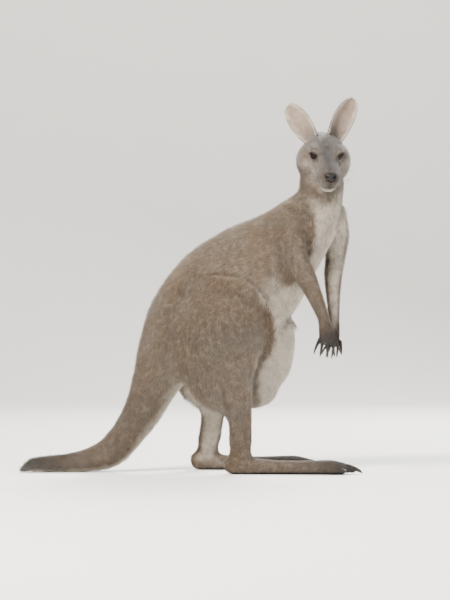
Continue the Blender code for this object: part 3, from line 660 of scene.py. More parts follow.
def fur_colour(tree, place, colours):
    """The markings that skin and coat share. A hair is dark at its root, partly for its greyer base and
    partly as painted shade down among the hairs, palest a third of the way along and browner to its tip, and
    each has its own tone."""
    names = ("pale", "dark", "chance", "tip")
    pale, dark, chance, tip = (add(tree, "Attribute", {}, "Fac", attribute_name=name) for name in names)
    # Mottling about 90 mm across, and about 14 mm across.
    broad = add(tree, "TexNoise", {"Vector": place, "Scale": 11, "Detail": 3})
    patch = add(tree, "TexNoise", {"Vector": place, "Scale": 70, "Detail": 3})
    mottle = add(tree, "MapRange", {0: broad, 1: 0.38, 2: 0.68, 3: 0.0, 4: 0.65})
    coat = add(tree, "Mix", {0: mottle, 6: rgba(colours.back), 7: rgba(colours.warm)}, **MIX)
    ragged = add(tree, "MapRange", {0: patch, 1: 0.3, 2: 0.7, 3: -0.12, 4: 0.12})
    under = add(tree, "Math", {0: pale, 1: ragged}, use_clamp=True)
    coat = add(tree, "Mix", {0: under, 6: coat, 7: rgba(colours.pale)}, **MIX)
    coat = add(tree, "Mix", {0: dark, 6: coat, 7: rgba(colours.dark)}, **MIX)
    # Band of tones along a hair: the dark root end is partly real underfur grey and partly painted shade
    # among the hairs.
    band = add(tree, "ValToRGB", {0: tip})
    stops = band.node.color_ramp.elements
    for at in (0.35, 0.62):
        stops.new(at)
    for stop, grey in zip(stops, (0.32, 1.25, 0.96, 1.0)):
        stop.color = (grey, grey, grey, 1)
    coat = add(tree, "Mix", {0: 1.0, 6: coat, 7: band}, **MIX, blend_type="MULTIPLY")
    own = add(tree, "MapRange", {0: chance, 1: 0.0, 2: 1.0, 3: 0.74, 4: 1.24})
    near = add(tree, "MapRange", {0: patch, 1: 0.3, 2: 0.7, 3: 0.88, 4: 1.1})
    tone = add(tree, "Math", {0: own, 1: near}, operation="MULTIPLY")
    return add(tree, "HueSaturation", {"Color": coat, "Value": tone})


def guard_hair(colours):
    # Kangaroo guard hair: dry keratin strands with a soft sheen along the coat and no gloss of their own.
    made, tree, place = new_material("guard_hair")
    # Its strands are about 0.8 mm across, coarser than hair so that they show.
    strands = add(tree, "TexNoise", {"Vector": place, "Scale": 1300, "Detail": 2})
    looks = {"Base Color": fur_colour(tree, place, colours), "Roughness": 0.62, "Specular IOR Level": 0.28}
    looks |= {"Sheen Weight": 0.18, "Sheen Roughness": 0.45}
    return finished(made, looks, (strands, 0.35, 0.0004))


def underfur(colours):
    # Underfur: short dense wool under the guard hair, matt, with the same markings, and bare skin where
    # the hair stops on the nose, lips, palms and soles.
    made, tree, place = new_material("underfur")
    bare = add(tree, "Attribute", {}, "Fac", attribute_name="bare")
    wrinkle = add(tree, "TexNoise", {"Vector": place, "Scale": 260, "Detail": 4})  # about 4 mm across
    wool = add(tree, "TexNoise", {"Vector": place, "Scale": 620, "Detail": 3, "Roughness": 0.7})
    # The wool takes the colour of a hair's dark root end, as painted shade under the guard hair.
    colour = {0: bare, 6: fur_colour(tree, place, colours), 7: rgba(colours.bare)}
    looks = {"Base Color": add(tree, "Mix", colour, **MIX), "Specular IOR Level": 0.25}
    looks["Roughness"] = add(tree, "MapRange", {0: bare, 1: 0.0, 2: 1.0, 3: 0.85, 4: 0.55})
    return finished(made, looks, (add(tree, "Math", {0: wool, 1: wrinkle}, operation="ADD"), 0.8, 0.0012))


def ear_skin(colours):
    # Ear: thin skin, felted outside with the coat's short hair, nearly bare and flushed inside.
    made, tree, place = new_material("ear_skin")
    names = ("inside", "dark")
    inside, dark = (add(tree, "Attribute", {}, "Fac", attribute_name=name) for name in names)
    flush = add(tree, "TexNoise", {"Vector": place, "Scale": 40, "Detail": 3})  # about 25 mm across
    felt = add(tree, "TexNoise", {"Vector": place, "Scale": 500, "Detail": 3})  # about 2 mm across
    bare = add(tree, "Mix", {0: flush, 6: rgba("#6E564B"), 7: rgba("#937768")}, **MIX)
    # The dark is real on the rims and tips outside, and painted shade deep inside the cup.
    bare = add(tree, "Mix", {0: dark, 6: bare, 7: rgba("#45352E")}, **MIX)
    colour = add(tree, "Mix", {0: inside, 6: fur_colour(tree, place, colours), 7: bare}, **MIX)
    looks = {"Base Color": colour, "Roughness": 0.7, "Subsurface Weight": 0.12}
    looks["Subsurface Radius"] = (0.006, 0.003, 0.002)
    return finished(made, looks, (felt, 0.5, 0.0006))


def bare_skin(colours):
    # Rhinarium and eyelid skin: black, pebbled in cells about 0.8 mm across, and slightly moist.
    made, tree, place = new_material("bare_skin")
    hollow = add(tree, "Attribute", {}, "Fac", attribute_name="hollow")
    cells = add(tree, "TexVoronoi", {"Vector": place, "Scale": 1300})
    # Painted shade and light: each pebble is paler at its middle and darker in the grooves round it,
    # following the bump's rise and fall.
    shade = add(tree, "MapRange", {0: cells, 1: 0.0, 2: 0.8, 3: 0.0, 4: 1.0})
    colour = add(tree, "Mix", {0: shade, 6: rgba(colours.bare, 1.5), 7: rgba(colours.bare, 0.6)}, **MIX)
    # Painted shade: the nostrils' hollows are painted near black.
    colour = add(tree, "Mix", {0: hollow, 6: colour, 7: rgba("#020202")}, **MIX)
    damp = add(tree, "TexNoise", {"Vector": place, "Scale": 300})  # patches about 3 mm across
    rough = add(tree, "MapRange", {0: damp, 1: 0.3, 2: 0.7, 3: 0.52, 4: 0.68})
    rough = add(tree, "Math", {0: rough, 1: hollow}, use_clamp=True)
    high = add(tree, "Math", {0: 1.0, 1: cells}, operation="SUBTRACT")
    look = {"Base Color": colour, "Roughness": rough, "Specular IOR Level": 0.35}
    return finished(made, look, (high, 0.3, 0.0004))


def horn(colours):
    # Claw horn: layered keratin, black-brown, worn paler and duller towards the point.
    made, tree, _ = new_material("claw_horn")
    along = add(tree, "Attribute", {}, "Vector", attribute_name="fibre")
    tip = add(tree, "Attribute", {}, "Fac", attribute_name="tip")
    fibre = add(tree, "TexNoise", {"Vector": along, "Scale": 1, "Detail": 3})
    worn = add(tree, "Mix", {0: tip, 6: rgba(colours.horn), 7: rgba("#231E1A")}, **MIX)
    streak = add(tree, "MapRange", {0: fibre, 1: 0.35, 2: 0.7, 3: 0.0, 4: 0.6})
    looks = {"Base Color": add(tree, "Mix", {0: streak, 6: worn, 7: rgba("#2B2521")}, **MIX)}
    looks["Roughness"] = add(tree, "MapRange", {0: fibre, 1: 0.3, 2: 0.7, 3: 0.45, 4: 0.60})
    return finished(made, looks | {"Specular IOR Level": 0.35}, (fibre, 0.4, 0.0004))


def eye_finish(colours):
    # Museum glass eye: a dark brown iris streaked from the pupil outwards, under a clear polished cornea.
    made, tree, _ = new_material("glass_eye")
    way = add(tree, "Attribute", {}, "Vector", attribute_name="streak")
    angle = add(tree, "Attribute", {}, "Fac", attribute_name="angle")  # degrees from the pupil's middle
    streak = add(tree, "TexNoise", {"Vector": way, "Scale": 6, "Detail": 4})
    colour = rgba(colours.iris)
    # The streaks, then the pupil's edge, then the iris's dark rim.
    for value, low, high, start, code in (
        (streak, 0.3, 0.7, 0.0, "#24140B"), (angle, 17, 20, 1.0, "#050404"), (angle, 40, 47, 0.0, "#130D0A"),
    ):
        share = add(tree, "MapRange", {0: value, 1: low, 2: high, 3: start, 4: 1.0 - start})
        colour = add(tree, "Mix", {0: share, 6: colour, 7: rgba(code)}, **MIX)
    looks = {"Base Color": colour, "Roughness": 0.35, "Specular IOR Level": 0.05}
    return finished(made, looks | {"Coat Weight": 0.18, "Coat IOR": 1.38, "Coat Roughness": 0.01})


def whisker_hair(colours):
    # Vibrissae: stiff tapered bristles, black with a slight gloss.
    made, tree, _ = new_material("whisker_bristle")
    tip = add(tree, "Attribute", {}, "Fac", attribute_name="tip")
    shade = add(tree, "Mix", {0: tip, 6: rgba("#17130F"), 7: rgba("#5A4E42")}, **MIX)
    return finished(made, {"Base Color": shade, "Roughness": 0.4})


def floor_finish(colour):
    # Studio floor: matt painted plaster with a faint unevenness, about 0.2 m across.
    made, tree, place = new_material("studio_plaster")
    uneven = add(tree, "TexNoise", {"Vector": place, "Scale": 5, "Detail": 4})
    share = add(tree, "MapRange", {0: uneven, 1: 0.3, 2: 0.7, 3: 0.0, 4: 0.25})
    shade = add(tree, "Mix", {0: share, 6: rgba(colour), 7: rgba(colour, 0.94)}, **MIX)
    return finished(made, {"Base Color": shade, "Roughness": 0.8})


FINISHES = {}


def finish_of(make):
    """Each material is made once, from the colours in the panel."""
    if make.__name__ not in FINISHES:
        FINISHES[make.__name__] = make(bpy.context.scene.kangaroo_colours)
    return FINISHES[make.__name__]


# ---------------------------------------------------------------- skin
FLESH = ["head", "neck", "chest", "abdomen", "pouch", "tail_base", "tail_middle", "tail_tip"]
LIMBS = ("thigh", "shank", "foot", "upper_arm", "forearm", "hand")
FLESH += [f"{part}_{side}" for side in SIDES for part in LIMBS]
GRAINS = {"spine": (44, 2.0), "head": (40, 2.15), "foot": (28, 2.4), "toe": (16, 2.0), "finger": (14, 2.0)}
SWELLING_DEPTH = 0.0024
RUMP_DEPTH = 0.008
BLEND_TURNS = 130  # of smoothing where the limbs join, and then all over
EVEN_TURNS = 5
BLEND_SLOPE = 2.2  # how steeply the smoothing gives way towards a blend's reach
SKIN_TRIANGLES = 186_000
# Where the skin keeps its fine mesh besides the feet, and how far round: the head and the hands.
FINE_PLACES = [(from_head((0.09, 0, 0)), 0.19), *((rows[-1][:3], 0.06) for rows in ARMS.values())]
FLOOR_GAP = 0.0008
# How far along a hair's band of colours the skin under the hair is: low, near the dark root, so the skin
# between the tufts is painted darker as painted shade between the hairs.
SHADE_BAND_SHARES = {"skin": 0.08, "ears": 0.25, "eyelids": 0.2}
GRIZZLE = (0.16, 0.012)  # how much the skin's tone wavers, and over what size
BLUR = 0.0065  # how softly the hair of one mass gives way to the next
HAIR_TURNS = 8  # of easing the hair's fields over the skin
BROAD_TURNS = 40  # of easing the normals, so that creases don't count
GAZE = unit(np.array((0.68, 0.72, 0.12)))  # where the left eye looks, in the head's frame


def skin_shapes(masses):
    """Closed shapes of all the flesh, inside the solids by the depth of the coat."""
    shapes = [mass.mesh(*GRAINS.get(mass.kind, (32, 2.0))) for mass in masses]
    for sign in SIDES.values():
        for centre, radii in HEAD_SWELLINGS.values():
            points, faces = ball((centre[0], sign * centre[1], centre[2]), np.array(radii) - SWELLING_DEPTH)
            shapes.append((from_head(points), faces))
    for side, sign in SIDES.items():
        (x, out, z), radii = RUMP
        shapes.append(ball((x - stride_shift(side, z), sign * out, z), np.array(radii) - RUMP_DEPTH))
    return shapes


# Forms of the face: the centre on the left side, the radii and the push, in the head's frame. Those off
# the midline are on both sides.
FACE_FORMS = [
    ((0.112, 0.026, 0.026), (0.02, 0.01, 0.012), (0, 0, 0.0016)),  # the brow's ridge
    ((0.12, 0.034, 0.01), (0.013, 0.014, 0.013), (0, -0.006, 0)),  # the hollow before the eye
    ((0.134, 0.032, 0.004), (0.016, 0.014, 0.012), (0, -0.0025, 0)),
    ((0.166, 0.026, -0.014), (0.014, 0.012, 0.011), (0, 0.0018, 0)),  # the whiskers' pad
    ((0.15, 0.03, -0.031), (0.035, 0.014, 0.0045), (0, -0.002, 0)),  # along the mouth
    ((0.183, 0.014, 0.012), (0.01, 0.009, 0.008), (0, 0.0016, 0)),  # the wing of the nose
    ((0.197, 0.0, -0.016), (0.012, 0.003, 0.01), (-0.0022, 0, 0)),  # the cleft of the lip
    (NOSE[0] + (0.008, 0, 0), (0.012, 0.014, 0.01), (-0.0085, 0, 0)),  # the seat of the nose pad
    ((0.105, 0.0, 0.038), (0.03, 0.01, 0.012), (0, 0, -0.0018)),  # between the brows
]


def mirrorings(place):
    """What puts a place of the head's left side on each side, or a place of the midline where it is."""
    return [np.array((1, sign, 1)) for sign in ((1, -1) if place[1] else (1,))]


EYE_RIM = (0.0135, 0.0042)  # its distance from the gaze, and its spread
EYE_TROUGH = (0.0215, 0.0050)


def modelled_face(points):
    """Forms of the face: each is a push along a direction, strongest at a centre and falling away as a
    bell. The eyes sit in shallow sockets: a rim and a trough are bells of the distance from the gaze."""
    near = to_head(points)
    push = np.zeros_like(near)
    for centre, radii, way in FACE_FORMS:
        for flip in mirrorings(centre):
            push += dent(near, centre * flip, radii)[:, None] * (way * flip)
    for flip in mirrorings(EYE_PLACE):
        gaze = GAZE * flip
        from_eye = near - EYE_PLACE * flip
        away = from_eye - (from_eye @ gaze)[:, None] * gaze
        ring = np.linalg.norm(away, axis=1)
        beside = (from_eye @ gaze > -0.004) & (ring < 0.05)
        above = np.clip(away[:, 2] / np.maximum(ring, 1e-6), -1, 1)
        rim = bell(ring, *EYE_RIM) * (0.0010 + 0.0012 * above)
        trough = 0.0018 * bell(ring, *EYE_TROUGH) * np.clip(0.55 - above, 0, 1)
        push += (beside * (rim - trough))[:, None] * gaze
    return points + push @ HEAD_TURN.T


FLANK = 0.04  # the relief of the haunch and the leg is further than this from the midline
# X and Z of the haunch's edge, from over the hip round to the front of the thigh.
HAUNCH_EDGE = [(-0.03, 0.492), (0.01, 0.506), (0.075, 0.508), (0.14, 0.498), (0.18, 0.464), (0.197, 0.41)]
HAUNCH_EDGE += [(0.198, 0.355), (0.184, 0.3)]
HAUNCH_SWELL = (0.0030, -0.020, 0.018)  # its height, its distance outside the edge and its spread
HAUNCH_FOLD = (0.0080, 0.007, 0.012)


def haunch_relief(points):
    """The thigh stands out from the flank: a swelling inside the haunch's edge and a fold outside it, each
    a bell of the distance from the edge. They fade towards the hip and towards the knee."""
    push = np.zeros(len(points))
    for side, sign in SIDES.items():
        edge = smooth_rows(HAUNCH_EDGE, 6)
        out = unit(np.stack([-np.gradient(edge[:, 1]), np.gradient(edge[:, 0])], -1))
        edge[:, 0] -= [stride_shift(side, z) for z in edge[:, 1]]
        x, y, z = points.T
        chosen = np.nonzero((sign * y > FLANK) & (z > 0.22) & (x > -0.12))[0]
        away = points[chosen][:, None, (0, 2)] - edge
        nearest = (away**2).sum(-1).argmin(1)
        distance = (away[np.arange(len(chosen)), nearest] * out[nearest]).sum(-1)
        fade = smoothstep(0.0, 0.35, nearest / len(edge)) * smoothstep(1.0, 0.85, nearest / len(edge))
        swell, fold = (high * bell(distance, *shape) for high, *shape in (HAUNCH_SWELL, HAUNCH_FOLD))
        push[chosen] += sign * fade * (swell - fold)
    return push


# Creases on the outer side of each leg, as X and Z along them, and how deep: before the knee, behind the
# thigh, and between the calf and the shank.
CREASES = [
    ([(0.157, 0.338), (0.134, 0.318), (0.111, 0.287)], 0.004),
    ([(0.005, 0.307), (0.036, 0.29), (0.048, 0.268), (0.058, 0.234)], 0.004),
    ([(0.081, 0.262), (0.079, 0.236), (0.088, 0.212), (0.096, 0.182), (0.099, 0.15)], 0.0055),
]


CREASE_SPREAD = 0.007
BANK = (0.015, 0.008)  # the swelling's distance from the crease, and its spread
BANK_SHARE = 0.45  # of the crease's depth


def crease_relief(points):
    """Each crease is a groove with a low swelling on both sides, bells of the distance from its line. They
    fade towards its ends as a half sine."""
    push = np.zeros(len(points))
    for (line, deep), (side, sign) in itertools.product(CREASES, SIDES.items()):
        line = smooth_rows(line, 8)
        line[:, 0] -= [stride_shift(side, z) for z in line[:, 1]]
        _, y, z = points.T
        chosen = np.nonzero((sign * y > FLANK) & (z > 0.12) & (z < 0.38))[0]
        away = np.linalg.norm(points[chosen][:, None, (0, 2)] - line, axis=2)
        distance, share = away.min(1), away.argmin(1) / (len(line) - 1)
        groove = bell(distance, 0.0, CREASE_SPREAD) - BANK_SHARE * bell(distance, *BANK)
        push[chosen] -= sign * deep * np.sin(np.pi * share) * groove
    return push


POUCH_HEIGHT = 0.405  # of the mouth's middle
POUCH_LIP = 0.0022


def pouch_mouth(points):
    """How far above the pouch's mouth each place is, in centimetres, and how much it is on the front of
    the belly. The mouth is a downward curve, a parabola of the distance from the midline."""
    belly = (points[:, 0] < 0.32) & (points[:, 2] < 0.5)  # and not the hand that hangs before it
    front = belly * smoothstep(0.20, 0.24, points[:, 0]) * smoothstep(0.085, 0.055, np.abs(points[:, 1]))
    return (points[:, 2] - POUCH_HEIGHT + 6.0 * points[:, 1] ** 2) / 0.010, front


def modelled_body(points):
    """The edge of each haunch, the creases of the legs, and the pouch's mouth: a low lip across the front
    of the belly, with a fold above it."""
    points = points + (haunch_relief(points) + crease_relief(points))[:, None] * (0, 1, 0)
    above, front = pouch_mouth(points)
    points[:, 0] += POUCH_LIP * front * (bell(above, -0.9, 1.0) - bell(above, 0.9, 1.0))
    return points


def build_skin(masses, grain):
    """One closed skin round all the flesh, smoothed where the limbs join, in the body's frame."""
    body = bpy.data.objects.new("skin", outward(joined("skin", skin_shapes(masses))))
    bpy.context.scene.collection.objects.link(body)
    fuse = body.modifiers.new("fuse", "REMESH")
    fuse.mode = "VOXEL"
    fuse.voxel_size = grain
    mesh = applied(body)
    corners = read(mesh.vertices, "co", 3)
    edges = read(mesh.edges, "vertices", 2, np.int32)
    weight = np.zeros(len(corners))
    for centre, reach in BLENDS:
        near = 1 - np.linalg.norm(corners - centre, axis=1) / reach
        weight = np.maximum(weight, np.clip(near * BLEND_SLOPE, 0, 1))
    corners = relaxed(corners, edges, BLEND_TURNS, 0.5 * weight)
    corners = relaxed(corners, edges, EVEN_TURNS, 0.45)
    corners = modelled_body(modelled_face(corners))
    corners[:, 2] = np.maximum(corners[:, 2], FLOOR_GAP)
    mesh.vertices.foreach_set("co", corners.astype(np.float32).ravel())
    # The head, hands and feet keep their faces, and the reduction takes the trunk's.
    fine = (corners[:, 2] < 0.05) & (corners[:, 0] > 0.1)
    for place, reach in FINE_PLACES:
        fine |= np.linalg.norm(corners - place, axis=1) < reach
    group = body.vertex_groups.new(name="coarse")
    group.add(np.nonzero(~fine)[0].tolist(), 1.0, "REPLACE")
    reduce = body.modifiers.new("reduce", "DECIMATE")
    reduce.vertex_group = "coarse"
    reduce.ratio = min(1.0, SKIN_TRIANGLES / (2 * len(mesh.polygons)))
    applied(body)
    return body


def hair_along(points, masses):
    """How the hair is at each place: the mean of the samples of every mass, each weighing e to the minus
    its distance over BLUR. A sample's distance is from its oval section and from its plane."""
    pieces = list(TUFTS)
    rows = []
    for mass in masses:
        names = [mass.piece or next(n for top, n in SPINE_PIECES if s < top) for s in mass.share]
        rows.append(
            np.column_stack(
                [mass.centre, mass.tangent, mass.up, mass.across, mass.width, mass.rise, mass.drop]
                + [mass.tangent * mass.flow, mass.hair, mass.depth, mass.dark, mass.pale, mass.pale_side]
                + [[pieces.index(n) for n in names]]
            )
        )
    rows = np.concatenate(rows).astype(np.float32)
    centre, tangent, up, across = rows[:, :3], rows[:, 3:6], rows[:, 6:9], rows[:, 9:12]
    width, rise, drop = rows[:, 12], rows[:, 13], rows[:, 14]
    owner = rows[:, -1].astype(int)
    found, owners = [], []
    for part in np.array_split(points.astype(np.float32), max(1, len(points) // 4000)):
        off = part[:, None] - centre[None]
        side = np.einsum("ijk,jk->ij", off, across)
        high = np.einsum("ijk,jk->ij", off, up)
        ahead = np.einsum("ijk,jk->ij", off, tangent)
        oval = np.sqrt((side / width) ** 2 + (high / np.where(high > 0, rise, drop)) ** 2)
        gap = np.abs(oval - 1) * np.sqrt(width * rise)
        weight = np.exp(-np.sqrt(gap**2 + 0.5 * ahead**2) / BLUR) + 1e-12
        found.append(weight @ rows[:, 15:-1] / weight.sum(1, keepdims=True))
        owners.append(owner[weight.argmax(1)])
    return np.concatenate(found).astype(float), np.concatenate(owners)


# Places where the hair is longer and hangs: centre, radii and how much longer.
FRINGES = [
    ((0.0, -0.09, 0.195), (0.07, 0.06, 0.045), 0.8),
    ((-0.04, 0.09, 0.185), (0.08, 0.06, 0.045), 0.9),
    ((-0.07, 0.0, 0.15), (0.05, 0.06, 0.06), 0.5),
    ((0.265, 0.0, 0.43), (0.05, 0.09, 0.06), 0.8),
    ((0.375, 0.0, 0.69), (0.05, 0.07, 0.055), 0.9),
]


# The head's marks: how strong, the centre on the left side and the radii, in the head's frame. Those off
# the midline are on both sides. The pale and dark marks add up, and a spot shows where it is strongest.
PALE_MARKS = [
    (0.9, (0.15, 0.0, -0.044), (0.04, 0.03, 0.016)),  # chin
    (0.8, (0.14, 0.034, -0.028), (0.05, 0.02, 0.012)),  # lips
    (0.45, (0.098, 0.046, -0.01), (0.034, 0.016, 0.009)),  # cheek
    (0.35, (0.012, 0.045, 0.002), (0.018, 0.018, 0.018)),  # below the ear
]
DARK_MARKS = [
    (0.4, (0.075, 0.0, 0.022), (0.08, 0.06, 0.05)),  # forehead
    (0.4, (0.135, 0.0, 0.03), (0.055, 0.017, 0.016)),  # bridge
    (0.22, (0.055, 0.0, 0.045), (0.04, 0.024, 0.02)),  # crown
]
SHADE_AND_DARK_SPOTS = [
    # painted shade round the eye, in its socket
    (0.9, EYE_PLACE, (0.023, 0.023, 0.019)),
    (0.78, (0.134, 0.027, 0.009), (0.03, 0.01, 0.01)),  # painted shade in the hollow from the eye to the nose
    (0.45, (0.163, 0.026, -0.012), (0.014, 0.012, 0.007)),  # the whiskers' pad
]


def marked(field, marks, head, join=np.add):
    """A field with marks joined to it, each a bell round its centre."""
    for strong, centre, radii in marks:
        for flip in mirrorings(centre):
            field = join(field, strong * dent(head, centre * flip, radii))
    return field


def bare_places(corners, normals, head):
    """How bare each place is: the soles, the nose's seat, and the front of the eyes' sockets."""
    bare = smoothstep(-0.5, -0.85, normals[:, 2]) * (corners[:, 2] < 0.02) * (corners[:, 0] > 0.0)
    seat = dent(head, NOSE[0] + (0.006, 0, 0), (0.016, 0.016, 0.013))
    bare = np.maximum(bare, smoothstep(0.35, 0.5, seat))
    for flip in mirrorings(EYE_PLACE):
        off = head - EYE_PLACE * flip
        away = np.linalg.norm(off, axis=1)
        ahead = off @ (GAZE * flip) / np.maximum(away, 1e-6)
        bare = np.maximum(bare, smoothstep(1.06, 0.98, away / EYE_RADIUS) * smoothstep(0.30, 0.45, ahead))
    return bare


def skin_fields(corners, normals, edges, masses):
    """The hair's fields at the skin's corners, eased so that no two neighbours differ much."""
    found, owner = hair_along(corners, masses)
    found = relaxed(found, edges, HAIR_TURNS)
    lie, (hair, depth, dark, pale), pale_side = found[:, :3], found[:, 3:7].T, found[:, 7:10]
    head = to_head(corners)
    broad = unit(relaxed(normals, edges, BROAD_TURNS))  # the way each part faces
    ripple = 0.07 * waves(corners, 0.06, SEED)
    pale = marked(smoothstep(-0.12, 0.55, (broad * pale_side).sum(-1) + pale + ripple), PALE_MARKS, head)
    # The spots are painted shade round the eyes and along the hollows before them, and the whiskers' dark
    # pads.
    dark = marked(marked(dark, DARK_MARKS, head), SHADE_AND_DARK_SPOTS, head, np.maximum)
    dark = np.clip(dark * (1 - 0.75 * pale), 0, 1)
    # Painted shade: the skin and the coat are darkened along the fold above the pouch's mouth.
    above, front = pouch_mouth(corners)
    dark = np.maximum(dark, 0.75 * front * bell(above, 0.1, 0.55))
    for centre, radii, more in FRINGES:
        hair = hair * (1 + more * dent(corners, centre, radii))
    hair = hair * (1 + 0.8 * dent(head, (0.030, 0.0, 0.045), (0.020, 0.024, 0.016)))  # on the crown
    fields = {"hair": hair, "depth": depth, "dark": dark, "pale": np.clip(pale, 0, 1)}
    fields["bare"] = bare_places(corners, normals, head)
    # On the back of the head, the hair turns down to the nape. Round the nose, it lies away from the pad:
    # back, down and out to the sides.
    nape = dent(head, (-0.02, 0.0, 0.005), (0.050, 0.060, 0.055))
    muzzle = dent(head, NOSE[0] + (0.004, 0, -0.012), (0.022, 0.030, 0.026))
    sideways = 1.3 * np.sign(head[:, 1]) * smoothstep(0, 0.004, np.abs(head[:, 1]))
    away = np.stack([np.full(len(head), -0.5), sideways, 1.2 * np.sign(head[:, 2] + 0.004)], -1)
    lie = lie + nape[:, None] * (0, 0, -1.6) + 2.2 * muzzle[:, None] * (away @ HEAD_TURN.T)
    return unit(lie), fields, owner


def put_markings(mesh, fields, tip, chance):
    """The markings that the fur's colour reads."""
    marks = {"pale": fields["pale"], "dark": fields["dark"], "tip": tip, "chance": chance}
    for name, values in marks.items():
        put_attribute(mesh, name, values)


def put_skin_markings(mesh, name, fields, chance):
    """The markings of the skin under the hair, set low on the hair's band as painted shade between the
    hairs.
    """
    put_markings(mesh, fields, np.full(len(chance), SHADE_BAND_SHARES[name]), chance)


def wavering(corners, seed):
    """The skin's own tone, about a half."""
    much, size = GRIZZLE
    return 0.5 + much * waves(corners, size, seed)


class Ground:
    """A surface that hair grows from: its triangles, and how the hair is at each corner."""

    def __init__(self, obj, lie, fields, owner):
        mesh = obj.data
        mesh.calc_loop_triangles()
        self.triangles = read(mesh.loop_triangles, "vertices", 3, np.int32)
        self.loops = read(mesh.loop_triangles, "loops", 3, np.int32)
        self.corners = read(mesh.vertices, "co", 3)
        self.normals = read(mesh.vertex_normals, "vector", 3)
        self.uv = read(mesh.uv_layers["OFBake"].data, "uv", 2)
        self.lie, self.fields, self.owner = lie, fields, owner


GROUNDS = {}


class KANGAROO_OT_skin(bpy.types.Operator):
    """Fuse the masses into one skin and work out how the hair lies on it"""

    bl_idname = "kangaroo.skin"
    bl_label = "Skin"

    def execute(self, context):
        masses = body_masses()
        body = build_skin(masses, context.scene.kangaroo_sizes.grain)
        mesh = body.data
        corners = read(mesh.vertices, "co", 3)
        normals = read(mesh.vertex_normals, "vector", 3)
        edges = read(mesh.edges, "vertices", 2, np.int32)
        lie, fields, owner = skin_fields(corners, normals, edges, masses)
        mesh.vertices.foreach_set("co", (corners + SHIFT).astype(np.float32).ravel())
        mesh.update()
        unwrap(body)
        put_skin_markings(mesh, "skin", fields, wavering(corners, SEED + 1))
        put_attribute(mesh, "bare", fields["bare"])
        GROUNDS["body"] = Ground(body, lie, fields, owner)
        bpy.data.objects.remove(body)
        placed("skin", mesh, finish_of(underfur), nodes=FLESH)
        return {"FINISHED"}


# ---------------------------------------------------------------- ears
EAR_THICKNESS = 0.0022
EAR_BOW = 0.010
EAR_COLUMNS = 33


def ear_surface(side):
    """A cupped ear: a sheet curled round its length. At each place along it, the section is an arc of
    the given half width and curl; the two faces stand half a thickness inside and outside the arc."""
    root, tip, mouth = (np.array(v, float) for v in EARS[side])
    root = from_head(root)
    axis = unit(tip)
    mouth = unit(mouth - axis * (mouth @ axis))
    across = np.cross(mouth, axis)
    rows = smooth_rows(EAR_ROWS, 6)
    along, half, curl = rows[:, :1], rows[:, 1:2], np.radians(rows[:, 2:3])
    radius = half / np.sin(np.minimum(curl, np.pi / 2))
    share = np.linspace(-1, 1, EAR_COLUMNS)[None]
    height = along / EAR_ROWS[-1][0]
    bow = EAR_BOW * np.sin(np.pi * np.clip(height, 0, 1))
    # Two folds run up the inside from the base.
    fold = 0.0016 * (bell(share, 0.42, 0.10) + bell(share, -0.50, 0.12)) * np.clip(1 - height * 1.3, 0, 1)
    sheets = []
    for sign in (-1, 1):
        reach = radius + sign * EAR_THICKNESS / 2 * (1 - 0.45 * share**2) - (fold if sign < 0 else 0)
        sideways = (reach * np.sin(share * curl))[..., None] * across
        deep = (radius - reach * np.cos(share * curl) - bow)[..., None] * mouth
        sheets.append(root + along[..., None] * axis + sideways + deep)
    count, width = sheets[0].shape[:2]
    index = np.arange(count * width).reshape(count, width)
    quads = grid_quads(index)
    rim = np.concatenate([index[0, :-1], index[:-1, -1], index[-1, :0:-1], index[:0:-1, 0]])
    after = np.roll(rim, -1)
    far = count * width
    edge = np.stack([after, rim, rim + far, after + far], -1)
    faces = np.concatenate([quads, quads[:, ::-1] + far, edge])
    fields = {
        "share": np.tile(np.broadcast_to(share, (count, width)).ravel(), 2),
        "height": np.tile(np.broadcast_to(height, (count, width)).ravel(), 2),
        "inside": np.repeat([1.0, 0.0], far),
    }
    corners = np.concatenate([sheet.reshape(-1, 3) for sheet in sheets])
    fields["lie"] = np.broadcast_to(axis, corners.shape)
    # On the inner edges, the hair leans across the mouth of the ear.
    inward = -np.sign(fields["share"]) * smoothstep(0.55, 0.95, np.abs(fields["share"]))
    inward = (inward * fields["inside"])[:, None]
    fields["lie"] = fields["lie"] + 0.9 * inward * across + 0.2 * np.abs(inward) * mouth
    return corners, faces.tolist(), fields


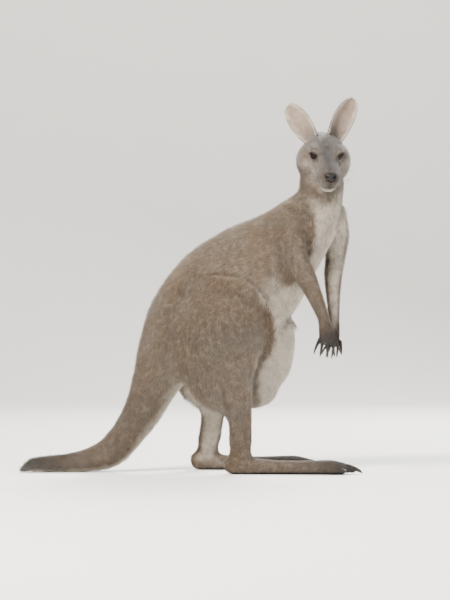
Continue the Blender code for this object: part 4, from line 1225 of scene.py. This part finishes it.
class KANGAROO_OT_ears(bpy.types.Operator):
    """Make the two cupped ears"""

    bl_idname = "kangaroo.ears"
    bl_label = "Ears"

    def execute(self, context):
        shapes = [ear_surface(side) for side in SIDES]
        fields = {name: np.concatenate([shape[2][name] for shape in shapes]) for name in shapes[0][2]}
        mesh = outward(joined("ears", [(corners + SHIFT, faces) for corners, faces, _ in shapes]))
        ears = bpy.data.objects.new("ears", mesh)
        context.scene.collection.objects.link(ears)
        unwrap(ears)
        edge, high = np.abs(fields["share"]), np.clip(fields["height"], 0, 1)
        inside = fields["inside"]
        fields["hair"] = np.where(inside > 0, 0.0048 + 0.0062 * smoothstep(0.55, 0.95, edge), 0.0055)
        fields["depth"] = np.where(inside > 0, 0.0022, 0.0012)
        pale = inside * (0.25 + 0.70 * smoothstep(0.45, 0.85, edge))
        fields["pale"] = np.clip(pale + 0.2 * (1 - high) ** 2, 0, 1)
        rim = smoothstep(0.80, 1.0, edge) * (1 - inside)
        tips = smoothstep(0.80, 1.0, high) * (1 - inside)
        fields["dark"] = np.clip(0.35 * rim + 0.40 * tips + 0.22, 0, 1) * (1 - inside)
        # Painted shade: the hair deep inside the cup, towards the root and away from the edges, is darker.
        fields["dark"] += 0.55 * inside * smoothstep(0.75, 0.1, edge) * smoothstep(0.75, 0.1, high)
        corners = read(mesh.vertices, "co", 3)
        # Painted shade: the skin inside is darker towards the ear's root, deep in the cup.
        sheet = dict(fields, dark=np.where(inside > 0, smoothstep(0.45, 0.0, high), fields["dark"]))
        put_skin_markings(mesh, "ears", sheet, wavering(corners, SEED + 2))
        put_attribute(mesh, "inside", inside)
        owner = np.full(len(corners), list(TUFTS).index("coat_ears"))
        GROUNDS["ears"] = Ground(ears, unit(fields["lie"]), fields, owner)
        bpy.data.objects.remove(ears)
        placed("ears", mesh, finish_of(ear_skin), nodes=[f"ear_{side}" for side in SIDES])
        return {"FINISHED"}


# ---------------------------------------------------------------- coat
# A tuft is a closed three-sided spike: three corners at the root and the tip. Each row is the share of
# its length, the share of its height and its girth.
SPIKE = [(-0.08, -0.50, 1.0), (1.0, 1.0, 0.0)]
SPIKE_TRIANGLES = np.array([(0, 2, 1), (0, 1, 3), (1, 2, 3), (2, 0, 3)])
SPIKE_PATCH = 0.0015 * np.array([(-1, -1), (1, -1), (0, -0.6), (0, 1)])  # its corners' places in the map
FULL_LENGTH = 0.020  # the hair whose tufts have the panel's width
CROWDING = -1.2  # the power of the hair's length that the tufts' number goes by
CURL = 0.16  # radians that a tuft turns with its neighbours, at each of two sizes of wave
STRAY = 0.13  # spread of the radians that it turns by itself
LENGTHS = (-0.22, 0.18)  # how much shorter or longer than its neighbours
LIFTS = (-0.28, 0.24)  # how much lower or higher
LIFT_LIMITS = (0.3, 1.35)
GIRTHS = (0.8, 1.25)


def sown(ground, chosen, count, rng):
    """Roots spread over the chosen triangles. A triangle's share is its area times a negative power of the
    hair's length, so short hair is denser. Returns the triangle and the weights of its three corners."""
    triangles = ground.triangles[chosen]
    a, b, c = (ground.corners[triangles[:, k]] for k in range(3))
    area = np.linalg.norm(np.cross(b - a, c - a), axis=1) / 2
    need = area * ground.fields["hair"][triangles].mean(1) ** CROWDING
    need *= 1 - ground.fields.get("bare", np.zeros(len(ground.corners)))[triangles].mean(1)
    total = np.cumsum(need)
    spots = (np.arange(count) + rng.random(count)) / count * total[-1]
    face = chosen[np.minimum(np.searchsorted(total, spots), len(chosen) - 1)]
    first, second = np.sqrt(rng.random(count)), rng.random(count)
    return face, np.stack([1 - first, first * (1 - second), first * second], -1)


def tufts(name, ground, chosen, count, sizes, seed):
    """Tufts on a ground: each is a straight spike that starts under the skin, leans along the lie of the
    hair and ends near the height of the coat."""
    rng = np.random.default_rng(seed)
    face, share = sown(ground, chosen, count, rng)
    corners = ground.triangles[face]

    def at_root(values):
        return (values[corners] * share.reshape(*share.shape, *([1] * (values.ndim - 1)))).sum(1)

    root = at_root(ground.corners)
    normal = unit(at_root(ground.normals))
    lie = at_root(ground.lie)
    hair, depth = at_root(ground.fields["hair"]), at_root(ground.fields["depth"])
    along = unit(lie - (lie * normal).sum(-1, keepdims=True) * normal)
    across = np.cross(normal, along)
    clump = waves(root, 0.022, SEED + 5)
    turn = CURL * waves(root, 0.075, SEED + 3) + CURL * clump + rng.normal(0, STRAY, count)
    cos, sin = np.cos(turn)[:, None], np.sin(turn)[:, None]
    along, across = cos * along + sin * across, cos * across - sin * along
    length = hair * (1 + 0.10 * waves(root, 0.03, SEED + 4) + rng.uniform(*LENGTHS, count))
    lift = sizes.tuft_lift * (1 + 0.16 * clump + rng.uniform(*LIFTS, count))
    height = depth * np.clip(lift, *LIFT_LIMITS)
    reach = np.sqrt(np.maximum(length**2 - height**2, (0.5 * length) ** 2))
    width = sizes.tuft_width * np.sqrt(length / FULL_LENGTH) * rng.uniform(*GIRTHS, count)
    points, tips = [], []
    for far, high, girth in SPIKE:
        spine = root + (reach * far)[:, None] * along + (height * high)[:, None] * normal
        half = (width * girth / 2)[:, None]
        ring = [spine - half * across, spine + half * across, spine + 0.8 * half * normal]
        points += ring if girth else [spine]
        tips += [max(far, 0.0) ** 0.75] * (3 if girth else 1)
    points = np.stack(points, 1)
    points[..., 2] = np.maximum(points[..., 2], SHIFT[2] + FLOOR_GAP / 2)
    corner_count = points.shape[1]
    triangles = (SPIKE_TRIANGLES[None] + corner_count * np.arange(count)[:, None, None]).reshape(-1, 3)
    mesh = triangle_mesh(name, points.reshape(-1, 3), triangles)
    uv = (ground.uv[ground.loops[face]] * share[..., None]).sum(1)[:, None] + SPIKE_PATCH[None]
    layer = mesh.uv_layers.new(name="OFBake")
    layer.data.foreach_set("uv", uv.reshape(-1, 2)[triangles.ravel()].astype(np.float32).ravel())
    fields = {key: np.repeat(at_root(ground.fields[key]), corner_count) for key in ("pale", "dark")}
    chance = np.clip(rng.normal(0.5, 0.2, count) + 0.10 * clump, 0, 1)
    put_markings(mesh, fields, np.tile(tips, count), np.repeat(chance, corner_count))
    return mesh


class KANGAROO_OT_coat(bpy.types.Operator):
    """Grow the coat as closed tufts that follow the lie of the hair"""

    bl_idname = "kangaroo.coat"
    bl_label = "Coat"

    def execute(self, context):
        sizes = context.scene.kangaroo_sizes
        for number, (name, count) in enumerate(TUFTS.items()):
            ground = GROUNDS["ears" if name == "coat_ears" else "body"]
            chosen = np.nonzero(ground.owner[ground.triangles[:, 0]] == number)[0]
            if not len(chosen):
                raise RuntimeError(f"no skin carries {name}")
            mesh = tufts(name, ground, chosen, int(count * sizes.tuft_share), sizes, SEED + number)
            placed(name, mesh, finish_of(guard_hair))
        return {"FINISHED"}


# ---------------------------------------------------------------- eyes
EYE_RINGS, EYE_SPOKES = 48, 64
BRISTLE_SIDES = 5
CORNEA = 0.045  # rise of the cornea, as a share of the eye's radius
CORNEA_SPREAD = 0.62
OPENING = (math.radians(56), math.radians(36), math.radians(40))  # half width, above and below
LID_REACH = math.radians(106)
LID_RINGS = 16
LID_HAIR = {"hair": 0.0030, "depth": 0.0007, "pale": 0.10, "dark": 0.62}
LID_TUFTS = 7000
LASH_RADIUS = 0.00022
LID_UP = (-0.42, 0.0, 1.0)  # across the opening, in the head's frame: the front corner is the higher


def eye_axes(side):
    """An eye's centre, and the directions of its gaze, of its front corner and of its upper lid."""
    flip = np.array((1, SIDES[side], 1))
    gaze = GAZE * flip
    up = np.array(LID_UP)
    up = unit(up - gaze * (up @ gaze))
    ahead = unit(np.array((1.0, 0, 0)) - gaze * gaze[0])
    ahead = unit(ahead - up * (ahead @ up))
    centre = from_head(EYE_PLACE * flip)
    return (centre, *(axis @ HEAD_TURN.T for axis in (gaze, ahead, up)))


def about_eye(side, radius, angle, turn):
    """Places round an eye at an angle from the gaze and a turn round it, and the way out of each turn. A
    place is the radius times the sine of the angle outwards and its cosine along the gaze."""
    centre, gaze, ahead, up = eye_axes(side)
    aside = np.cos(turn)[..., None] * ahead + np.sin(turn)[..., None] * up
    way = np.sin(angle)[..., None] * aside + np.cos(angle)[..., None] * gaze
    return centre + np.asarray(radius)[..., None] * way, aside


def cornea_radius(angle):
    """The eye's radius at an angle from the gaze, with the cornea standing proud of it as a bell."""
    return EYE_RADIUS * (1 + CORNEA * bell(angle, 0.0, CORNEA_SPREAD))


def eyeball(side):
    """A ball with its pole at the gaze, the angle of each corner, and where it is in the iris's streaks."""
    angle = np.linspace(0.004, np.pi - 0.004, EYE_RINGS)[:, None]
    turn = np.linspace(0, 2 * np.pi, EYE_SPOKES, endpoint=False)[None]
    points, _ = about_eye(side, cornea_radius(angle), angle, turn)
    angle = np.degrees(angle) + 0 * turn
    streak = np.stack([3 * np.cos(turn) + 0 * angle, 3 * np.sin(turn) + 0 * angle, angle / 60], -1)
    return points.reshape(-1, 3), tube_faces(EYE_RINGS, EYE_SPOKES), angle.ravel(), streak.reshape(-1, 3)


def lid_edge(turn):
    """The almond between the lids, as its angle from the gaze and its turn round it. Forwards it is the
    width times cos t, and upwards the height times sin t, thinned at the corners by a power of sin t."""
    wide, above, below = OPENING
    sine = np.sin(turn)
    tall = np.where(sine > 0, above, below) * sine * np.abs(sine) ** 0.28
    forwards, upwards = wide * np.cos(turn), tall - 0.05 * wide * np.cos(turn)
    return np.hypot(forwards, upwards), np.arctan2(upwards, forwards)


def eyelids(side, thickness):
    """Lids as a shell over the eyeball: from the almond's edge, round the rim, and out to where it dives
    under the skin. The upper lid is thicker, with a fold along it."""
    centre, _, ahead, _ = eye_axes(side)
    turn = np.linspace(0, 2 * np.pi, 96, endpoint=False)[None]
    start, way = lid_edge(turn)
    even = np.linspace(0, 1, LID_RINGS - 5)
    s = np.concatenate([[0.0, 0.0, 0.010, 0.035, 0.07], 0.11 + 0.89 * even])[:, None]
    rise = np.concatenate([[-0.6, 0.15, 0.80, 1.0, 1.05], 1.1 - 0.1 * even])[:, None]
    angle = start + (LID_REACH - start) * s
    upper = np.clip(np.sin(turn), 0, 1) ** 0.6
    fold = (0.9 * bell(s, 0.20, 0.09) - 0.6 * bell(s, 0.38, 0.07)) * (0.25 + 0.75 * upper) * (s > 0)
    radius = cornea_radius(angle) + thickness * (rise * (1 + 0.35 * upper) + fold)
    points, aside = about_eye(side, radius - 0.0045 * smoothstep(0.55, 1.0, s), angle, way)
    shape = points.shape[:2]
    inner = centre + 0.90 * (points[::-1] - centre)  # the shell's hidden inner wall closes it
    points = np.concatenate([points, inner])
    index = np.arange(points[..., 0].size).reshape(points.shape[:2])
    rim = np.broadcast_to(smoothstep(0.16, 0.05, s), shape)
    rim = np.concatenate([rim, np.ones(shape)]).ravel()
    lie = np.broadcast_to(aside - 0.7 * ahead, (*shape, 3)).reshape(-1, 3)
    faces = grid_quads(np.pad(index, ((0, 1), (0, 1)), "wrap")).tolist()
    return points.reshape(-1, 3), faces, rim, np.concatenate([lie, lie])


def bristles(paths, radius):
    """Tapered hairs: closed tubes along paths of as many points each, with the share along them."""
    share = np.linspace(0, 1, paths.shape[1])
    tip = np.repeat(share, BRISTLE_SIDES)
    radii = radius * (1 - 0.82 * share)
    return [(*round_tube(path, radii, (0.31, 0.52, 0.79), BRISTLE_SIDES), tip) for path in paths]


def lashes(side):
    """A row of curved lashes along the upper lid: out from the rim, then upwards."""
    _, gaze, ahead, up = eye_axes(side)
    turn = np.linspace(math.radians(22), math.radians(158), 30)
    start, way = lid_edge(turn)
    root, aside = about_eye(side, np.full(len(turn), 1.10 * EYE_RADIUS), start, way)
    out = unit(0.9 * gaze + 0.35 * aside + 0.25 * np.cos(way)[:, None] * ahead)
    s = np.linspace(0, 1, 6)[None, :, None]
    length = (0.0075 * (1 - 0.25 * np.cos(turn) ** 2))[:, None, None]
    return root[:, None] + length * s * out[:, None] + length * (0.45 * s**2 - 0.15 * s) * up


class KANGAROO_OT_eyes(bpy.types.Operator):
    """Make the eyeballs, the lids and the lashes"""

    bl_idname = "kangaroo.eyes"
    bl_label = "Eyes"

    def execute(self, context):
        sizes = context.scene.kangaroo_sizes
        mesh = joined_values("eyeballs", [eyeball(side) for side in SIDES], "angle", "streak")
        placed("eyeballs", mesh, finish_of(eye_finish), nodes=[f"eye_{side}" for side in SIDES])
        lids = [eyelids(side, sizes.lid_thickness) for side in SIDES]
        mesh = joined_values("eyelids", lids, "bare")
        count = len(mesh.vertices)
        fields = {name: np.full(count, value) for name, value in LID_HAIR.items()}
        put_skin_markings(mesh, "eyelids", fields, np.full(count, 0.4))
        piece = placed("eyelids", mesh, finish_of(underfur))
        unwrap(piece)
        fields["bare"], lie = (np.concatenate([lid[k] for lid in lids]) for k in (2, 3))
        ground = Ground(piece, unit(lie), fields, np.zeros(count))
        mesh = tufts("coat_lids", ground, np.arange(len(ground.triangles)), LID_TUFTS, sizes, SEED + 60)
        placed("coat_lids", mesh, finish_of(guard_hair))
        hairs = bristles(np.concatenate([lashes(side) for side in SIDES]), LASH_RADIUS)
        placed("lashes", joined_values("lashes", hairs, "tip"), finish_of(whisker_hair))
        return {"FINISHED"}


# ---------------------------------------------------------------- nose, lips and whiskers
NOSTRIL = (0.0088, 0.0020)  # out from the middle and up, in the head's frame
MOUTH_HEIGHT = -0.0250
LIP_RADII = (0.0012, 0.0009)  # of the mouth's line and of the cleft
PAD_RINGS, PAD_SPOKES = 72, 120
LIP_WHISKERS = (5, 5, 4, 4)  # in each row of a side, from the top
BROW_WHISKERS = 4
CHEEK_WHISKERS = 2
WHISKER_SHAKE = 0.07  # spread of their directions
WHISKER_LENGTHS = (0.85, 1.12)


def nose_pad():
    """The bare pad round the nostrils: a superellipsoid on the end of the muzzle, square above and
    narrow below, with a comma-shaped nostril pressed in at each side and a groove down the middle."""
    centre, radii = NOSE
    a = np.linspace(0.01, math.radians(112), PAD_RINGS)[:, None]
    side, high = circle(PAD_SPOKES)
    shape = (np.abs(side) ** 2.6 + np.abs(high) ** 2.6) ** (-1 / 2.6)
    narrow = 1 - 0.46 * smoothstep(0.3, -0.95, high)
    y = radii[1] * np.sin(a) * side * shape * narrow
    z = radii[2] * np.sin(a) * high * shape
    x = radii[0] * np.cos(a)
    out, up = NOSTRIL
    off = np.abs(y) - out
    across, tall = off / 0.0042, (z - up + 0.35 * off) / 0.0026
    tail = bell(off, 0.0045, 0.0035) * bell(z - up, 0.0030, 0.0016)
    hole = np.clip(np.exp(-(across**2) - tall**2) + 0.7 * tail, 0, 1) * (x > 0)
    rim = bell(np.hypot(across, tall), 1.7, 3**-0.5) * (x > 0)
    groove = bell(y, 0.0, 0.0011) * smoothstep(0.004, -0.004, z) * (x > 0)
    x = x - 0.0085 * hole + 0.0011 * rim - 0.0016 * groove
    y = y * (1 - 0.10 * hole)
    points = from_head(centre + np.stack([x, y, z], -1).reshape(-1, 3))
    # The last is the nostrils' mask, which the nose's material paints near black as painted shade.
    return points, tube_faces(PAD_RINGS, PAD_SPOKES), smoothstep(0.25, 0.75, hole).ravel()


def on_skin(tree, starts, ways):
    """Where rays from outside meet the skin."""
    hits = []
    for start, way in zip(starts, ways):
        place, *_ = tree.ray_cast(Vector(start), Vector(way))
        if place is None:
            raise RuntimeError("a ray missed the skin")
        hits.append(place)
    return np.array(hits, float)


def lip_paths(tree):
    """The line of the mouth, round the front of the muzzle and back along both cheeks, and the cleft of
    the upper lip. Each point is found on the skin, from a turn round an upright axis in the muzzle."""
    turn = np.radians(np.linspace(-100, 100, 61))
    back = np.clip((np.abs(turn) - math.radians(55)) / math.radians(45), 0, 1)
    high = MOUTH_HEIGHT - 0.004 * back + 0.0015 * np.cos(3 * turn)
    pivot = np.stack([0.160 - 0.034 * back, 0 * turn, high], -1)
    way = np.stack([np.cos(turn), np.sin(turn), 0 * turn], -1)
    mouth = on_skin(tree, from_head(pivot + 0.09 * way), -way @ HEAD_TURN.T)
    high = np.linspace(-0.006, MOUTH_HEIGHT, 12)
    front = np.stack([0 * high + 0.25, 0 * high, high], -1)
    cleft = on_skin(tree, from_head(front), np.tile((-1.0, 0, 0), (len(high), 1)) @ HEAD_TURN.T)
    return mouth, cleft


def creased(path, radius):
    """A slim tube along a path, thinner towards its ends, that sits half in the skin."""
    thin = radius * np.clip(1.25 - 0.9 * np.linspace(-1, 1, len(path)) ** 4, 0.3, 1)
    return round_tube(path, thin, HEAD_TURN @ np.array((0.1, 0.2, 1.0)), 10)


def whisker_paths(tree, rng):
    """Whiskers in rows on the lip, with a few over each eye and on the cheek. Each leaves the skin
    outwards and backwards, and droops as its square."""
    roots, ways, lengths = [], [], []
    for sign in SIDES.values():
        for row, count in enumerate(LIP_WHISKERS):
            for k in range(count):
                x = 0.180 - 0.0068 * k - 0.002 * row
                roots.append((x, sign, -0.0020 - 0.0048 * row))
                ways.append((0.25 - 0.22 * k, sign, 0.12 - 0.16 * row))
                lengths.append(0.030 + 0.006 * k)
        for k in range(BROW_WHISKERS):
            roots.append((0.098 - 0.006 * k, sign, 0.033))
            ways.append((0.25 - 0.15 * k, sign * 0.7, 0.8))
            lengths.append(0.026)
        for k in range(CHEEK_WHISKERS):
            roots.append((0.085 + 0.012 * k, sign, -0.022))
            ways.append((-0.1, sign, -0.35))
            lengths.append(0.030)
    roots, ways, lengths = np.array(roots), unit(np.array(ways)), np.array(lengths)
    start = roots * (1, 0.09, 1)
    found = on_skin(tree, from_head(start), (-np.sign(roots[:, 1:2]) * (0, 1, 0)) @ HEAD_TURN.T)
    ways = unit(ways + rng.normal(0, WHISKER_SHAKE, ways.shape))
    lengths = lengths * rng.uniform(*WHISKER_LENGTHS, len(lengths))
    s = np.linspace(0, 1, 10)[None, :, None]
    out = (ways @ HEAD_TURN.T)[:, None]
    back = HEAD_TURN @ np.array((-1.0, 0, 0))
    reach = lengths[:, None, None]
    return found[:, None] + reach * ((s - 0.03) * out + s**2 * (0.22 * back + np.array((0, 0, -0.16))))


class KANGAROO_OT_face(bpy.types.Operator):
    """Make the nose pad, the line of the lips and the whiskers"""

    bl_idname = "kangaroo.face"
    bl_label = "Face"

    def execute(self, context):
        ground = GROUNDS["body"]
        tree = BVHTree.FromPolygons((ground.corners - SHIFT).tolist(), ground.triangles.tolist())
        lips = [creased(path, radius) for path, radius in zip(lip_paths(tree), LIP_RADII)]
        paths = whisker_paths(tree, np.random.default_rng(SEED + 40))
        whiskers = bristles(paths, context.scene.kangaroo_sizes.whisker_radius)
        for name, shapes, fields, finish in (
            ("nose_pad", [nose_pad()], ["hollow"], bare_skin),
            ("lips", lips, [], bare_skin),
            ("whiskers", whiskers, ["tip"], whisker_hair),
        ):
            placed(name, joined_values(name, shapes, *fields), finish_of(finish))
        return {"FINISHED"}


# ---------------------------------------------------------------- claws
CLAW_ROWS = [(0.0, 1.0, 0.0), (0.20, 1.0, 0.0), (0.40, 0.94, 0.02), (0.75, 0.66, 0.09), (1.0, 0.10, 0.20)]
CLAW_SIDES = 20


def claw(place, way, length, radius):
    """A claw: round sections along a path that droops, flat below, with a ridge along its back."""
    rows = smooth_rows(CLAW_ROWS, 5)
    along, girth, droop = rows[:, :1], rows[:, 1:2], rows[:, 2:3]
    root = np.array(place - way * length * CLAW_ROOT)
    centre = root + length * along * np.array(way) - length * droop * np.array((0, 0, 1.0))
    tangent = unit(np.gradient(centre, axis=0))
    across = unit(np.cross((0, 0, 1.0) if abs(way[2]) < 0.9 else (1.0, 0, 0), tangent))
    up = np.cross(tangent, across)
    angle = np.linspace(0, 2 * np.pi, CLAW_SIDES, endpoint=False)[None]
    cosine, sine = np.cos(angle), np.sin(angle)
    tall = np.where(sine > 0, 1.0, 0.62) * sine + 0.10 * bell(angle, np.pi / 2, 0.35)
    points, faces = rings(centre, across, up, radius * girth * 0.86 * cosine, radius * girth * tall)
    fibre = np.stack([3 * cosine + 0 * along, 3 * sine + 0 * along, along * 2 + 0 * angle], -1)
    return points, faces, fibre.reshape(-1, 3), np.repeat(smoothstep(0.45, 1.0, along), CLAW_SIDES)


def toe_claws(side):
    """The node that each toe's claw stands for, and its place, direction, length and radius."""
    for toe, (path, (length, radius)) in TOES.items():
        (x, y, z, *_), (ex, ey, ez, *_) = leg_rows(round_rows(path), side)[-2:]
        way = (Vector((ex - x, ey - y, ez - z)).normalized() - Vector((0, 0, 0.04))).normalized()
        root = Vector((ex, ey, ez + 0.002)) + way * path[-1][3] * 0.6
        yield f"toe_claw_{toe}_{side}", (root, way, length, radius)


def finger_claws(side):
    """The same for each finger's claw."""
    for finger, (_, tip, way) in finger_paths(side).items():
        yield f"claw_{finger}_{side}", (tip + way * FINGER_RADIUS * 0.6, way, *FINGER_CLAW)


class KANGAROO_OT_claws(bpy.types.Operator):
    """Make the claws of the fingers and toes"""

    bl_idname = "kangaroo.claws"
    bl_label = "Claws"

    def execute(self, context):
        for name, maker in (("finger_claws", finger_claws), ("toe_claws", toe_claws)):
            nodes, shapes = zip(*[pair for side in SIDES for pair in maker(side)])
            mesh = joined_values(name, [claw(*shape) for shape in shapes], "fibre", "tip")
            placed(name, mesh, finish_of(horn), nodes=nodes)
        return {"FINISHED"}


# ---------------------------------------------------------------- stage
CAMERA_X = 0.087
VIEW_HEIGHT = 1.56
SENSOR = 24.0
AIM = (0.05, 0.0, 0.45)  # what the lights point at
# The area lights: the place, the size, the share of the key light's power and the colour.
LIGHTS = {
    "key_light": ((-2.2, -3.4, 3.8), 1.3, 1.0, "#FFF8EE"),
    "fill_light": ((4.4, -2.4, 2.4), 1.2, 0.22, "#F2F6FF"),
    "back_light": ((1.6, 3.2, 3.2), 1.6, 0.5, "#FFFFFF"),
}
AIR = ("#F4F5F7", 0.72)  # the colour and the strength of the light from all round
# The floor: half its width, where it starts in front, where its cove starts and how far it curves, and
# the wall's top.
FLOOR_HALF, FLOOR_FRONT, WALL_AT, COVE, WALL_TOP = 9.0, -12.0, 4.5, 2.0, 8.0


def backdrop():
    """A floor that turns up into a wall behind: a line, a quarter circle and a line, swept sideways."""
    turn = np.linspace(0, np.pi / 2, 25)
    y = np.concatenate([[FLOOR_FRONT], WALL_AT + COVE * np.sin(turn), [WALL_AT + COVE]])
    z = np.concatenate([[0.0], COVE * (1 - np.cos(turn)), [WALL_TOP]])
    corners = [np.stack([np.full_like(y, x), y, z], -1) for x in (-FLOOR_HALF, FLOOR_HALF)]
    n = len(y)
    faces = [[k, k + n, k + n + 1, k + 1] for k in range(n - 1)]
    return mesh_of("studio_floor", np.concatenate(corners), faces)


def area_light(name, place, size, power, colour):
    """A square light at a place, turned to AIM."""
    lamp = bpy.data.lights.new(name, "AREA")
    lamp.shape, lamp.size, lamp.energy, lamp.color = "SQUARE", size, power, linear(colour)
    light = bpy.data.objects.new(name, lamp)
    light.location = place
    light.rotation_mode = "QUATERNION"
    light.rotation_quaternion = (Vector(AIM) - Vector(place)).to_track_quat("-Z", "Y")
    bpy.context.scene.collection.objects.link(light)


class KANGAROO_OT_stage(bpy.types.Operator):
    """Make the floor, the lights and the camera"""

    bl_idname = "kangaroo.stage"
    bl_label = "Stage"

    def execute(self, context):
        scene, settings = context.scene, context.scene.kangaroo_stage
        floor = bpy.data.objects.new("studio_floor", backdrop())
        floor.data.materials.append(floor_finish(settings.floor_colour))
        floor.data.shade_smooth()
        scene.collection.objects.link(floor)
        for name, (place, size, share, colour) in LIGHTS.items():
            area_light(name, place, size, settings.key_power * share, colour)
        world = bpy.data.worlds.new("studio_air")
        world.use_nodes = True
        air = world.node_tree.nodes["Background"]
        air.inputs["Color"].default_value = rgba(AIR[0])
        air.inputs["Strength"].default_value = AIR[1]
        scene.world = world
        lens = bpy.data.cameras.new("camera")
        lens.sensor_fit, lens.sensor_height = "VERTICAL", SENSOR
        lens.lens = SENSOR * settings.camera_distance / VIEW_HEIGHT
        camera = bpy.data.objects.new("camera", lens)
        camera.location = (CAMERA_X, -settings.camera_distance, settings.camera_height)
        camera.rotation_euler = (math.pi / 2, 0, 0)
        scene.collection.objects.link(camera)
        scene.camera = camera
        return {"FINISHED"}


# ---------------------------------------------------------------- add-on
STEPS = ["stage", "skin", "ears", "coat", "eyes", "face", "claws"]


class KANGAROO_PT_panel(bpy.types.Panel):
    """Lists the kangaroo's sizes, colours and steps"""

    bl_idname = "KANGAROO_PT_panel"
    bl_label = "Kangaroo"
    bl_space_type = "VIEW_3D"
    bl_region_type = "UI"
    bl_category = "Kangaroo"

    def draw(self, context):
        for settings in SETTINGS:
            group = getattr(context.scene, settings)
            box = self.layout.box()
            for name in group.__annotations__:
                box.prop(group, name)
        for step in STEPS:
            self.layout.operator(f"kangaroo.{step}")


SETTINGS = {
    "kangaroo_sizes": KangarooSizes,
    "kangaroo_colours": KangarooColours,
    "kangaroo_stage": KangarooStage,
}
CLASSES = [
    *SETTINGS.values(),
    KANGAROO_OT_stage,
    KANGAROO_OT_skin,
    KANGAROO_OT_ears,
    KANGAROO_OT_coat,
    KANGAROO_OT_eyes,
    KANGAROO_OT_face,
    KANGAROO_OT_claws,
    KANGAROO_PT_panel,
]


def register():
    for made in CLASSES:
        bpy.utils.register_class(made)
    for name, kind in SETTINGS.items():
        setattr(bpy.types.Scene, name, PointerProperty(type=kind))


def unregister():
    for name in SETTINGS:
        delattr(bpy.types.Scene, name)
    for made in reversed(CLASSES):
        bpy.utils.unregister_class(made)


def main():
    register()
    for step in STEPS:
        getattr(bpy.ops.kangaroo, step)()


if __name__ == "__main__":
    main()
